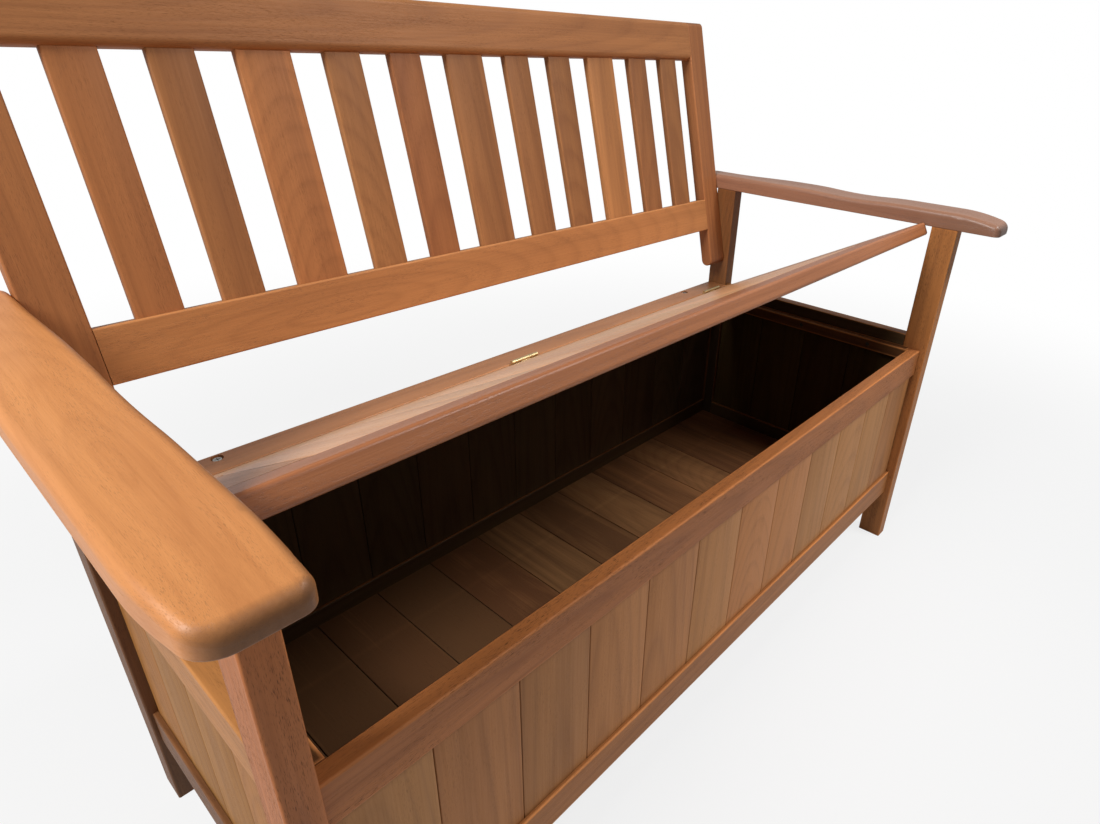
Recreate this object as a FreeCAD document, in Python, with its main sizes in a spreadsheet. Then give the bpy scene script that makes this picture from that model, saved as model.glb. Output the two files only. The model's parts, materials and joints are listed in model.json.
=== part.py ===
import FreeCAD, Part
import Sketcher
import math
import os

# Garden storage bench with a hinged seat lid, shown with the lid partly open.
# Millimetres, +Z up, front towards -Y. The origin is on the floor, in the middle of the overall outline.

doc = FreeCAD.newDocument("bench")
sheet = doc.addObject("Spreadsheet::Sheet", "sizes")
worked = doc.addObject("Spreadsheet::Sheet", "worked")


# A size is a number together with the expression that gives it.
# text uses the short names of both sheets, full uses only the driving sizes.
class Size:
    def __init__(self, value, text, full=None):
        self.value = value
        self.text = text
        self.full = full or text

    def join(self, other, value, sign):
        other = as_size(other)
        text = "(%s %s %s)" % (self.text, sign, other.text)
        full = "(%s %s %s)" % (self.full, sign, other.full)
        return Size(value(self.value, other.value), text, full)

    def __add__(self, other):
        return self.join(other, lambda a, b: a + b, "+")

    def __sub__(self, other):
        return self.join(other, lambda a, b: a - b, "-")

    def __mul__(self, other):
        return self.join(other, lambda a, b: a * b, "*")

    def __truediv__(self, other):
        return self.join(other, lambda a, b: a / b, "/")

    def __neg__(self):
        return as_size(-1) * self

    def __radd__(self, other):
        return as_size(other) + self

    def __rsub__(self, other):
        return as_size(other) - self

    def __rmul__(self, other):
        return as_size(other) * self


def as_size(value):
    if isinstance(value, Size):
        return value
    return Size(float(value), repr(float(value)))


def sine(angle):
    return Size(math.sin(math.radians(angle.value)), "sin(%s)" % angle.text, "sin(%s)" % angle.full)


def cosine(angle):
    return Size(math.cos(math.radians(angle.value)), "cos(%s)" % angle.text, "cos(%s)" % angle.full)


# Driving sizes

driving = {
    # legs and overall frame
    "seat_span": 1076.0,        # clear width between the legs
    "frame_depth": 446.0,       # front of the front legs to the back of the rear legs
    "leg_w": 25.0,
    "leg_d": 40.0,
    "leg_h": 587.0,
    "edge_round": 2.0,          # eased edges of the sawn pieces
    "slack": 0.5,               # end gap in blind holes and housings
    "joint_fit": 0.2,           # glue gap round a tenon
    # arms
    "arm_w": 64.0,
    "arm_t": 25.0,
    "arm_lap": 2.0,             # overhang inside the legs
    "arm_front": 60.0,          # overhang in front of the front legs
    "arm_back": 38.0,           # overhang behind the rear legs
    "arm_rear_cut": 18.0,       # narrowing in front of the rear legs
    "arm_rear_run": 85.0,
    "arm_front_cut": 8.0,       # narrowing towards the front end
    "arm_front_run": 53.0,
    "arm_round_outer": 20.0,
    "arm_round_waist": 250.0,
    "arm_round_inner": 10.0,
    "arm_round_rear": 12.0,
    "arm_edge_top": 7.0,
    "arm_edge_front": 11.0,     # fuller rounding at the front end
    "arm_nose_run": 75.0,       # length of the top that falls away to the front end
    "arm_nose_drop": 10.0,
    "arm_edge_bottom": 2.0,
    "arm_dip": 3.0,             # shallow hollow shaped into the top
    "arm_dip_from_front": 183.0,
    "arm_dip_run": 186.0,
    "dowel_r": 4.0,
    "dowel_in_leg": 20.0,
    "dowel_in_arm": 15.0,
    "round_fit": 0.05,          # radial gap round dowels, bolts, screws and pins
    # rails
    "seat_top": 405.0,
    "seat_t": 20.0,             # lid frame and fixed seat board
    "rail_t": 18.0,
    "rail_h": 45.0,
    "rail_set_front": 10.0,     # front rails behind the front of the legs
    "rail_set_rear": 3.0,       # rear rails in front of the back of the legs
    "rail_low": 98.0,           # underside of the lower rails
    "side_rail_t": 20.0,
    "tenon_t": 8.0,
    "tenon_h": 29.0,
    "tenon_x": 14.0,
    "tenon_y": 11.0,
    # tongued boards
    "board_t": 8.0,
    "board_gap": 0.6,           # open joint between two faces
    "board_vee": 1.2,           # small chamfer beside each joint
    "tongue": 4.0,
    "tongue_t": 2.6,
    "tongue_fit": 0.3,
    "panel_groove": 7.0,
    "panel_fit": 0.3,
    "panel_end": 0.6,
    "wall_boards": 12,
    "side_boards": 4,
    "floor_boards": 12,
    "lid_boards": 12,
    "floor_top": 118.0,
    "floor_t": 10.0,
    "floor_cleat_w": 18.0,
    "lid_cleat_w": 16.0,
    "lid_cleat_h": 18.0,
    "lid_rest_gap": 0.5,        # under the closed lid
    # fixed board behind the lid
    "seat_board_w": 40.0,
    "seat_board_set": 2.0,      # in front of the back of the legs
    "seat_screw_left": 116.0,   # from the legs
    "seat_screw_right": 98.0,
    "seat_screw_r": 2.5,
    "seat_screw_head_r": 5.5,
    "seat_screw_head_t": 3.0,
    "seat_screw_sink_r": 6.8,   # wide round sinking for the head
    "seat_screw_sink": 4.6,
    # back
    "recline": 13.8,
    "back_set": 44.5,           # front of the back frame at seat level, before the back of the legs
    "stile_w": 44.5,
    "stile_t": 22.0,
    "stile_low": 48.0,          # along the slope, from seat level
    "stile_top": 472.0,
    "stile_foot_round": 10.5,
    "stile_head_round": 8.0,
    "back_rail_low": 116.5,
    "back_rail_h": 55.0,
    "top_rail_h": 60.0,
    "back_tenon": 20.0,
    "back_tenon_t": 10.0,
    "back_tenon_h": 35.0,
    "slat_t": 10.0,
    "slat_narrow": 44.0,
    "slat_wide": 59.0,
    "slat_tenon": 10.0,
    "bolt_r": 3.0,
    "bolt_head_r": 5.0,
    "bolt_head_t": 3.0,
    "bolt_recess": 4.0,
    "bolt_in_stile": 26.0,
    "bolt_low": 75.0,           # along the slope, from seat level
    "bolt_pitch": 28.0,
    "nut_r": 5.0,
    "nut_len": 17.0,
    # lid
    "lid_open": 28.2,           # angle above the closed position
    "lid_side_gap": 3.0,        # between the lid and the arms
    "lid_nose": 4.5,            # overhang in front of the front rail
    "lid_rail_w": 85.0,
    "lid_end_w": 88.0,
    "lid_ledge": 10.0,
    "lid_gap": 4.0,             # open joint beside the end rails
    "lid_board_t": 12.0,
    "lid_tenon": 25.0,
    "lid_tenon_t": 6.0,
    "lid_tenon_w": 45.0,
    "lid_tenon_rise": 1.0,      # above the underside of the lid
    "lid_batten_w": 45.0,
    "lid_edge_round": 4.0,
    # hinges
    "hinge_gap": 3.0,           # between the lid and the fixed board
    "hinge_len": 50.0,
    "hinge_end": 53.0,          # middle of an end hinge, from the legs
    "hinge_leaf_h": 17.0,
    "hinge_leaf_t": 1.2,
    "hinge_air": 0.3,           # between the moving leaf and the fixed one
    "knuckle_r": 3.0,
    "pin_r": 1.5,
    "hinge_screw_x": 17.0,
    "hinge_screw_r": 1.3,
    "hinge_screw_head_r": 2.4,
    "hinge_screw_len": 14.0,
    # wood screws
    "screw_r": 2.0,
    "screw_head_r": 3.6,
    "screw_head_t": 2.2,
    "screw_recess": 3.5,
    "screw_bite": 14.0,         # depth in the second piece
    "cleat_screw_end": 55.0,
    "floor_screw_end": 138.0,   # from the legs
}


class Names:
    pass


s = Names()
for row, (name, value) in enumerate(driving.items(), 1):
    sheet.set("A%d" % row, name)
    sheet.set("B%d" % row, repr(value))
    sheet.setAlias("B%d" % row, name)
    setattr(s, name, Size(value, "sizes." + name))
doc.recompute()

worked_rows = []


# Writes a worked-out size into the second sheet and gives it a short name.
def derive(name, size):
    worked_rows.append(name)
    cell = "B%d" % len(worked_rows)
    worked.set("A%d" % len(worked_rows), name)
    worked.set(cell, "=" + size.full)
    worked.setAlias(cell, name)
    return Size(size.value, "worked." + name, size.full)


lean_sin = derive("lean_sin", sine(s.recline))
lean_cos = derive("lean_cos", cosine(s.recline))
# rearmost point of the leaning back, from the front of the legs
back_reach = derive("back_reach", s.frame_depth - s.back_set + (s.stile_top - s.stile_head_round) * lean_sin
                    + (s.stile_t - s.stile_head_round) * lean_cos + s.stile_head_round)
front_y = derive("front_y", (s.arm_front - back_reach) / 2)
rear_y = derive("rear_y", front_y + s.frame_depth)
half_span = derive("half_span", s.seat_span / 2)
rail_front_y = derive("rail_front_y", front_y + s.rail_set_front)
rail_rear_y = derive("rail_rear_y", rear_y - s.rail_set_rear - s.rail_t)
rail_up_z = derive("rail_up_z", s.seat_top - s.seat_t - s.rail_h)
rail_rest_z = derive("rail_rest_z", rail_up_z - s.lid_rest_gap)
low_rail_top = derive("low_rail_top", s.rail_low + s.rail_h)
side_up_z = derive("side_up_z", s.seat_top - s.rail_h)
side_mid_x = derive("side_mid_x", half_span + s.side_rail_t / 2)
side_y0 = derive("side_y0", front_y + s.leg_d)
side_y1 = derive("side_y1", rear_y - s.leg_d)
board_y1 = derive("board_y1", rear_y - s.seat_board_set)
board_y0 = derive("board_y0", board_y1 - s.seat_board_w)
hinge_y = derive("hinge_y", board_y0 - s.hinge_gap / 2)
hinge_rise = derive("hinge_rise", s.knuckle_r + s.hinge_air)
hinge_z = derive("hinge_z", s.seat_top + hinge_rise)
lid_half = derive("lid_half", half_span - s.arm_lap - s.lid_side_gap)
lid_len = derive("lid_len", hinge_y - rail_front_y + s.lid_nose)
lid_rear = derive("lid_rear", s.hinge_gap / 2)
lid_turn = derive("lid_turn", 90 - s.lid_open)
back_front_y = derive("back_front_y", rear_y - s.back_set)
stile_in = derive("stile_in", half_span - s.stile_w)
back_rail_top = derive("back_rail_top", s.back_rail_low + s.back_rail_h)
top_rail_low = derive("top_rail_low", s.stile_top - s.top_rail_h)
slat_y0 = derive("slat_y0", (s.stile_t - s.slat_t) / 2)
doc.recompute()

X_AXIS = FreeCAD.Vector(1, 0, 0)
Y_AXIS = FreeCAD.Vector(0, 1, 0)
Z_AXIS = FreeCAD.Vector(0, 0, 1)
nodes = []


# Shared helpers

def bind(obj, **sizes):
    for prop, size in sizes.items():
        obj.setExpression(prop, as_size(size).text)


# Places an object; angle is a size bound to the turn about axis.
def place(obj, x, y, z, axis=None, angle=None):
    point = [as_size(v) for v in (x, y, z)]
    turn = FreeCAD.Rotation()
    if axis is not None:
        turn = FreeCAD.Rotation(axis, as_size(angle).value)
    obj.Placement = FreeCAD.Placement(FreeCAD.Vector(*[p.value for p in point]), turn)
    for letter, p in zip("xyz", point):
        obj.setExpression("Placement.Base." + letter, p.text)
    if isinstance(angle, Size):
        obj.setExpression("Placement.Rotation.Angle", angle.text)
    return obj


def box(x, y, z, dx, dy, dz):
    obj = doc.addObject("Part::Box", "block")
    bind(obj, Length=dx, Width=dy, Height=dz)
    return place(obj, x, y, z)


# A box given by the distance of its inner face from the middle of the bench, on the side named by sign.
def side_box(sign, x_in, y, z, dx, dy, dz):
    start = x_in if sign > 0 else -(as_size(x_in) + dx)
    return box(start, y, z, dx, dy, dz)


TURNS = {"x": (Y_AXIS, 90), "-x": (Y_AXIS, -90), "y": (X_AXIS, -90), "-y": (X_AXIS, 90), "z": (None, 0),
         "-z": (X_AXIS, 180)}


# A round bar that starts at the point and runs along the named axis.
def rod(x, y, z, radius, length, along):
    obj = doc.addObject("Part::Cylinder", "round")
    bind(obj, Radius=radius, Height=length)
    axis, angle = TURNS[along]
    return place(obj, x, y, z, axis, angle)


def cone(x, y, z, r1, r2, length, along):
    obj = doc.addObject("Part::Cone", "taper")
    bind(obj, Radius1=r1, Radius2=r2, Height=length)
    axis, angle = TURNS[along]
    return place(obj, x, y, z, axis, angle)


def fuse(parts):
    if len(parts) == 1:
        return parts[0]
    obj = doc.addObject("Part::MultiFuse", "joined")
    obj.Shapes = parts
    return obj


def cut(base, tools):
    obj = doc.addObject("Part::Cut", "cut")
    obj.Base = base
    obj.Tool = fuse(tools)
    return obj


def group(parts):
    obj = doc.addObject("Part::Compound", "group")
    obj.Links = parts
    return obj


def runs_along(edge, axis):
    direction = edge.tangentAt(edge.FirstParameter)
    return abs(getattr(direction, axis)) > 0.99


# Eases the edges of a plain block that run along the named axis.
def eased(base, axis, radius):
    return rounded(base, radius, lambda e: runs_along(e, axis))


# Rounds the edges of a block that pass the test. radius may be a rule that gives the radius at a point.
def rounded(base, radius, test):
    doc.recompute([base])
    obj = doc.addObject("Part::Fillet", "eased")
    obj.Base = base
    picked = []
    for i, e in enumerate(base.Shape.Edges, 1):
        if test(e):
            tips = (e.Vertexes[0], e.Vertexes[-1])
            ends = [radius(v.Point) if callable(radius) else radius for v in tips]
            picked.append((i, ends[0].value, ends[1].value))
    obj.Edges = picked
    return obj


def node(obj, name):
    obj.Label = name
    nodes.append(obj)
    return obj


# A closed outline of straight lines in the plane of a body, every corner tied to sizes.
def outline(body, role, points, name="outline"):
    sketch = body.newObject("Sketcher::SketchObject", name)
    plane = [o for o in body.Origin.OriginFeatures if o.Role == role][0]
    sketch.AttachmentSupport = [(plane, "")]
    sketch.MapMode = "FlatFace"
    points = [(as_size(u), as_size(v)) for u, v in points]
    count = len(points)
    for i, (u, v) in enumerate(points):
        u2, v2 = points[(i + 1) % count]
        line = Part.LineSegment(FreeCAD.Vector(u.value, v.value, 0), FreeCAD.Vector(u2.value, v2.value, 0))
        sketch.addGeometry(line, False)
    for i in range(count):
        sketch.addConstraint(Sketcher.Constraint("Coincident", i, 2, (i + 1) % count, 1))
    for i, (u, v) in enumerate(points):
        for kind, size in (("DistanceX", u), ("DistanceY", v)):
            if size.value == 0:
                other = "PointOnObject"
                line = -2 if kind == "DistanceX" else -1
                sketch.addConstraint(Sketcher.Constraint(other, i, 1, line))
                continue
            index = sketch.addConstraint(Sketcher.Constraint(kind, -1, 1, i, 1, size.value))
            sketch.setExpression("Constraints[%d]" % index, size.text)
    return sketch


def new_body():
    body = doc.addObject("PartDesign::Body", "body")
    body.AllowCompound = True
    return body


def pad(body, sketch, length):
    feature = body.newObject("PartDesign::Pad", "pad")
    feature.Profile = sketch
    feature.Length = length.value
    bind(feature, Length=length)
    body.Tip = feature
    return feature


def round_edges(body, base, radius, test):
    doc.recompute([base])
    names = ["Edge%d" % i for i, e in enumerate(base.Shape.Edges, 1) if test(e)]
    feature = body.newObject("PartDesign::Fillet", "rounding")
    feature.Base = (base, names)
    feature.Radius = radius.value
    bind(feature, Radius=radius)
    body.Tip = feature
    return feature


# Takes a round bar out of a body, along the named axis.
def bored(body, x, y, z, radius, length, along):
    feature = body.newObject("PartDesign::SubtractiveCylinder", "bore")
    bind(feature, Radius=radius, Height=length)
    axis, angle = TURNS[along]
    place(feature, x, y, z, axis, angle)
    body.Tip = feature
    return feature


# A row of boards joined by tongue and groove, laid along local x from 0 to width, length along local z.
def boards(width, thickness, length, count):
    body = new_body()
    pitch = (width + s.board_gap) / count
    w = pitch - s.board_gap
    vee = s.board_vee
    mid = thickness / 2
    half_tongue = s.tongue_t / 2
    half_groove = half_tongue + s.tongue_fit
    deep = s.tongue - s.board_gap + s.tongue_fit
    points = [(vee, 0), (w - vee, 0), (w, vee), (w, mid - half_tongue), (w + s.tongue, mid - half_tongue),
              (w + s.tongue, mid + half_tongue), (w, mid + half_tongue), (w, thickness - vee),
              (w - vee, thickness), (vee, thickness), (0, thickness - vee), (0, mid + half_groove),
              (deep, mid + half_groove), (deep, mid - half_groove), (0, mid - half_groove), (0, vee)]
    first = pad(body, outline(body, "XY_Plane", points), length)
    row = body.newObject("PartDesign::LinearPattern", "row")
    row.Originals = [first]
    row.Direction = (first.Profile[0], ["H_Axis"])
    row.Mode = "Spacing"
    bind(row, Offset=pitch, Occurrences=count)
    body.Tip = row
    # the last board has no tongue
    ends = [(width, 0), (width + s.tongue * 2, 0), (width + s.tongue * 2, thickness), (width, thickness)]
    trim = body.newObject("PartDesign::Pocket", "trim")
    trim.Profile = outline(body, "XY_Plane", ends, "end_trim")
    trim.Reversed = True
    trim.Length = length.value
    bind(trim, Length=length)
    body.Tip = trim
    return body


# A wood screw: the head stands on the point and the shank runs along the named axis.
OUT = {"x": (-1, 0, 0), "-x": (1, 0, 0), "y": (0, -1, 0), "-y": (0, 1, 0), "z": (0, 0, -1), "-z": (0, 0, 1)}


def shifted(point, along, distance):
    return [as_size(p) - d * distance for p, d in zip(point, OUT[along])]


def screw(point, length, along, shank_r=s.screw_r, head_r=s.screw_head_r, head_t=s.screw_head_t):
    head = rod(*shifted(point, along, -head_t), head_r, head_t, along)
    return fuse([head, rod(*point, shank_r, length, along)])


# Clearance for such a screw: the sinking for the head, then the hole.
def screw_hole(point, length, along, shank_r=s.screw_r, sink_r=s.screw_head_r + s.round_fit,
               sink=s.screw_recess):
    recess = rod(*shifted(point, along, -sink), sink_r, sink, along)
    return fuse([recess, rod(*point, shank_r + s.round_fit, length + s.slack, along)])


SIDES = (("left", -1), ("right", 1))
leg_mid_x = derive("leg_mid_x", half_span + s.leg_w / 2)
tenon_gap = s.tenon_t + 2 * s.joint_fit
tenon_high = s.tenon_h + 2 * s.joint_fit
stile_mid = s.stile_t / 2
bolt_steps = (0, 1)


# Bolt axes through the rear legs and stiles, as a point in the leaning frame and on the floor grid.
def bolt_slope(step):
    return s.bolt_low + step * s.bolt_pitch


def bolt_point(step):
    along = bolt_slope(step)
    y = back_front_y + along * lean_sin + stile_mid * lean_cos
    z = s.seat_top + along * lean_cos - stile_mid * lean_sin
    return y, z


# Legs

def leg(name, sign, front):
    y0 = front_y if front else side_y1
    rail_y = (rail_front_y if front else rail_rear_y) + (s.rail_t - tenon_gap) / 2
    block = eased(side_box(sign, half_span, y0, 0, s.leg_w, s.leg_d, s.leg_h), "z", s.edge_round)
    tools = []
    for low in (rail_rest_z if front else rail_up_z, s.rail_low):
        z = low + (s.rail_h - tenon_high) / 2
        tools.append(side_box(sign, half_span, rail_y, z, s.tenon_x + s.slack, tenon_gap, tenon_high))
    deep = s.tenon_y + s.slack
    side_start = side_y0 - deep if front else side_y1
    for low in (side_up_z, s.rail_low):
        z = low + (s.rail_h - tenon_high) / 2
        tools.append(side_box(sign, side_mid_x - tenon_gap / 2, side_start, z, tenon_gap, deep, tenon_high))
    hole_r = s.dowel_r + s.round_fit
    hole_z = s.leg_h - s.dowel_in_leg - s.slack
    tools.append(rod(sign * leg_mid_x, y0 + s.leg_d / 2, hole_z, hole_r, s.dowel_in_leg + s.slack, "z"))
    if not front:
        for step in bolt_steps:
            y, z = bolt_point(step)
            outer = sign * (half_span + s.leg_w)
            inward = "-x" if sign > 0 else "x"
            tools.append(rod(outer, y, z, s.bolt_head_r + s.round_fit, s.bolt_recess, inward))
            tools.append(rod(outer, y, z, s.bolt_r + s.round_fit, s.leg_w, inward))
    return node(cut(block, tools), name)


for side, sign in SIDES:
    leg("leg_front_" + side, sign, True)
    leg("leg_rear_" + side, sign, False)


# Front and rear rails, with a tenon at each end and a groove for the boards

def long_rail(name, y, z, groove_above, holes=()):
    block = eased(box(-half_span, y, z, s.seat_span, s.rail_t, s.rail_h), "x", s.edge_round)
    parts = [block]
    for side, sign in SIDES:
        tenon_z = z + (s.rail_h - s.tenon_h) / 2
        parts.append(side_box(sign, half_span, y + (s.rail_t - s.tenon_t) / 2, tenon_z,
                              s.tenon_x, s.tenon_t, s.tenon_h))
    wide = s.board_t + 2 * s.panel_fit
    groove_z = z + s.rail_h - s.panel_groove if groove_above else z
    groove = box(-half_span, y + (s.rail_t - wide) / 2, groove_z, s.seat_span, wide, s.panel_groove)
    return node(cut(fuse(parts), [groove] + list(holes)), name)


seat_screw_y = derive("seat_screw_y", rail_rear_y + s.rail_t / 2)
seat_screw_z = derive("seat_screw_z", s.seat_top - s.seat_screw_sink)
seat_screw_len = derive("seat_screw_len", s.seat_t - s.seat_screw_sink + s.screw_bite)
seat_screw_points = [(x, seat_screw_y, seat_screw_z)
                     for x in (s.seat_screw_left - half_span, half_span - s.seat_screw_right)]


def seat_holes():
    return [screw_hole(p, seat_screw_len, "-z", s.seat_screw_r, s.seat_screw_sink_r, s.seat_screw_sink)
            for p in seat_screw_points]


floor_cleat_h = derive("floor_cleat_h", s.floor_top - s.floor_t - s.rail_low)
floor_screw_x = derive("floor_screw_x", half_span - s.floor_screw_end)
floor_screw_z = derive("floor_screw_z", s.rail_low + floor_cleat_h / 2)
floor_screw_len = derive("floor_screw_len", s.floor_cleat_w - s.screw_recess + s.screw_bite - s.joint_fit)
floor_cleat_y = {"front": rail_front_y + s.rail_t, "rear": rail_rear_y - s.floor_cleat_w}
floor_screw_points = {"front": [], "rear": []}
for step in (-1, -1 / 3, 1 / 3, 1):
    x = step * floor_screw_x
    front_head = floor_cleat_y["front"] + s.floor_cleat_w - s.screw_recess
    floor_screw_points["front"].append((x, front_head, floor_screw_z))
    floor_screw_points["rear"].append((x, floor_cleat_y["rear"] + s.screw_recess, floor_screw_z))
FLOOR_WAY = {"front": "-y", "rear": "y"}


def floor_holes(where):
    return [screw_hole(p, floor_screw_len, FLOOR_WAY[where]) for p in floor_screw_points[where]]


long_rail("rail_front_upper", rail_front_y, rail_rest_z, False)
long_rail("rail_front_lower", rail_front_y, s.rail_low, True, floor_holes("front"))
long_rail("rail_rear_upper", rail_rear_y, rail_up_z, False, seat_holes())
long_rail("rail_rear_lower", rail_rear_y, s.rail_low, True, floor_holes("rear"))


# Side rails, flush with the inner faces of the legs

side_len = derive("side_len", side_y1 - side_y0)
lid_cleat_z = derive("lid_cleat_z", s.seat_top - s.seat_t - s.lid_rest_gap - s.lid_cleat_h)
lid_cleat_y0 = derive("lid_cleat_y0", rail_front_y + s.rail_t)
lid_cleat_len = derive("lid_cleat_len", rail_rear_y - lid_cleat_y0)
cleat_screw_len = derive("cleat_screw_len", s.lid_cleat_w - s.screw_recess + s.screw_bite - s.joint_fit)
cleat_in_x = derive("cleat_in_x", half_span - s.lid_cleat_w)


def cleat_screw_points(sign):
    points = []
    first = side_y0 + s.cleat_screw_end
    span = side_len - 2 * s.cleat_screw_end
    for step in (0, 0.5, 1):
        x = sign * (cleat_in_x + s.screw_recess)
        points.append((x, first + step * span, lid_cleat_z + s.lid_cleat_h / 2))
    return points


def outward(sign):
    return "x" if sign > 0 else "-x"


def side_rail(name, sign, z, groove_above, holes=()):
    bar = side_box(sign, half_span, side_y0, z, s.side_rail_t, side_len, s.rail_h)
    block = eased(bar, "y", s.edge_round)
    tenon_z = z + (s.rail_h - s.tenon_h) / 2
    parts = [block]
    for y in (side_y0 - s.tenon_y, side_y1):
        parts.append(side_box(sign, side_mid_x - s.tenon_t / 2, y, tenon_z,
                              s.tenon_t, s.tenon_y, s.tenon_h))
    wide = s.board_t + 2 * s.panel_fit
    groove_z = z + s.rail_h - s.panel_groove if groove_above else z
    groove = side_box(sign, side_mid_x - wide / 2, side_y0, groove_z, wide, side_len, s.panel_groove)
    return node(cut(fuse(parts), [groove] + list(holes)), name)


for side, sign in SIDES:
    holes = [screw_hole(p, cleat_screw_len, outward(sign)) for p in cleat_screw_points(sign)]
    side_rail("rail_%s_upper" % side, sign, side_up_z, False, holes)
    side_rail("rail_%s_lower" % side, sign, s.rail_low, True)


# Tongued boards of the walls

wall_z0 = derive("wall_z0", low_rail_top - s.panel_groove + s.panel_fit)
wall_w = derive("wall_w", s.seat_span - 2 * s.panel_end)
front_wall_h = derive("front_wall_h", rail_rest_z + s.panel_groove - s.panel_fit - wall_z0)
rear_wall_h = derive("rear_wall_h", rail_up_z + s.panel_groove - s.panel_fit - wall_z0)
side_wall_h = derive("side_wall_h", side_up_z + s.panel_groove - s.panel_fit - wall_z0)
side_wall_w = derive("side_wall_w", side_len - 2 * s.panel_end)
wall_inset = (s.rail_t - s.board_t) / 2

wall = boards(wall_w, s.board_t, front_wall_h, s.wall_boards)
node(place(wall, -half_span + s.panel_end, rail_front_y + wall_inset, wall_z0), "boards_front")
wall = boards(wall_w, s.board_t, rear_wall_h, s.wall_boards)
node(place(wall, -half_span + s.panel_end, rail_rear_y + wall_inset, wall_z0), "boards_rear")
for side, sign in SIDES:
    wall = boards(side_wall_w, s.board_t, side_wall_h, s.side_boards)
    x = sign * side_mid_x + s.board_t / 2
    place(wall, x, side_y0 + s.panel_end, wall_z0, Z_AXIS, 90)
    node(wall, "boards_" + side)


# Floor boards and their cleats

floor_len = derive("floor_len", rail_rear_y - rail_front_y - s.rail_t - 2 * s.panel_end)
floor = boards(wall_w, s.floor_t, floor_len, s.floor_boards)
place(floor, -half_span + s.panel_end, rail_rear_y - s.panel_end, s.floor_top - s.floor_t, X_AXIS, 90)
node(floor, "boards_floor")
for where, y in floor_cleat_y.items():
    bar = box(-half_span + s.panel_end, y, s.rail_low, wall_w, s.floor_cleat_w, floor_cleat_h)
    node(cut(bar, floor_holes(where)), "cleat_floor_" + where)
floor_screws = [screw(p, floor_screw_len, FLOOR_WAY[where]) for where in floor_screw_points
                for p in floor_screw_points[where]]
node(group(floor_screws), "screws_floor_cleats")


# Cleats that carry the ends of the closed lid

cleat_screws = []
for side, sign in SIDES:
    bar = side_box(sign, cleat_in_x, lid_cleat_y0, lid_cleat_z, s.lid_cleat_w, lid_cleat_len, s.lid_cleat_h)
    points = cleat_screw_points(sign)
    holes = [screw_hole(p, cleat_screw_len, outward(sign)) for p in points]
    node(cut(bar, holes), "cleat_lid_" + side)
    cleat_screws += [screw(p, cleat_screw_len, outward(sign)) for p in points]
node(group(cleat_screws), "screws_lid_cleats")


# Hinges: three butt hinges standing in the gap between the lid and the fixed board

hinge_steps = (-1, 0, 1)
hinge_pitch = derive("hinge_pitch", half_span - s.hinge_end)
hinge_low = derive("hinge_low", hinge_rise + s.hinge_leaf_h)
hinge_screw_drop = derive("hinge_screw_drop", hinge_rise + s.hinge_leaf_h * 0.55)
third = derive("knuckle_third", s.hinge_len / 3)
bore_r = s.pin_r + s.round_fit
knuckle_cut = s.knuckle_r + s.hinge_air
leaf_start = derive("leaf_start", s.hinge_gap / 2 - s.hinge_leaf_t)


# One leaf of a hinge and its screw points. The leaf with the middle knuckle moves with the lid and is built
# about the hinge axis; the other one stands in its place on the seat board.
def leaf(x, middle):
    if middle:
        plate = box(x - s.hinge_len / 2, -hinge_low, leaf_start, s.hinge_len, hinge_low, s.hinge_leaf_t)
        barrels = [rod(x - third / 2 + s.hinge_air / 2, 0, 0, s.knuckle_r, third - s.hinge_air, "x")]
        starts = (x - s.hinge_len / 2 - s.slack, x + third / 2 - s.hinge_air / 2)
        notches = [box(u, -knuckle_cut, -knuckle_cut, third + s.slack + s.hinge_air / 2,
                       2 * knuckle_cut, 2 * knuckle_cut) for u in starts]
        heads = [(x + sign * s.hinge_screw_x, -hinge_screw_drop, leaf_start) for side, sign in SIDES]
        way = "z"
    else:
        plate = box(x - s.hinge_len / 2, hinge_y + leaf_start, hinge_z - hinge_low,
                    s.hinge_len, s.hinge_leaf_t, hinge_low)
        barrels = [rod(u, hinge_y, hinge_z, s.knuckle_r, third - s.hinge_air / 2, "x")
                   for u in (x - s.hinge_len / 2, x + third / 2 + s.hinge_air / 2)]
        notches = [box(x - third / 2 - s.hinge_air / 2, hinge_y - knuckle_cut, hinge_z - knuckle_cut,
                       third + s.hinge_air, 2 * knuckle_cut, 2 * knuckle_cut)]
        heads = [(x + sign * s.hinge_screw_x, hinge_y + leaf_start, hinge_z - hinge_screw_drop)
                 for side, sign in SIDES]
        way = "y"
    centre = (0, 0) if middle else (hinge_y, hinge_z)
    bore = rod(x - s.hinge_len / 2 - s.slack, *centre, bore_r, s.hinge_len + 2 * s.slack, "x")
    sinks = [cone(*p, s.hinge_screw_head_r + s.round_fit, s.hinge_screw_r + s.round_fit,
                  s.hinge_leaf_t, way) for p in heads]
    flat = cut(plate, notches + sinks)
    return cut(fuse([flat] + barrels), [bore]), heads


def hinge_screw(point, way):
    head = cone(*point, s.hinge_screw_head_r, s.hinge_screw_r, s.hinge_leaf_t, way)
    shank = rod(*shifted(point, way, s.hinge_leaf_t), s.hinge_screw_r, s.hinge_screw_len, way)
    return fuse([head, shank])


def hinge_screw_hole(point, way):
    start = shifted(point, way, s.hinge_leaf_t)
    return rod(*start, s.hinge_screw_r + s.round_fit, s.hinge_screw_len + s.slack, way)


fixed_leaves, lid_leaves, pins = [], [], []
fixed_heads, lid_heads = [], []
for step in hinge_steps:
    x = step * hinge_pitch
    shape, heads = leaf(x, False)
    fixed_leaves.append(shape)
    fixed_heads += heads
    shape, heads = leaf(x, True)
    lid_leaves.append(shape)
    lid_heads += heads
    pins.append(rod(x - s.hinge_len / 2, hinge_y, hinge_z, s.pin_r, s.hinge_len, "x"))


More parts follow.
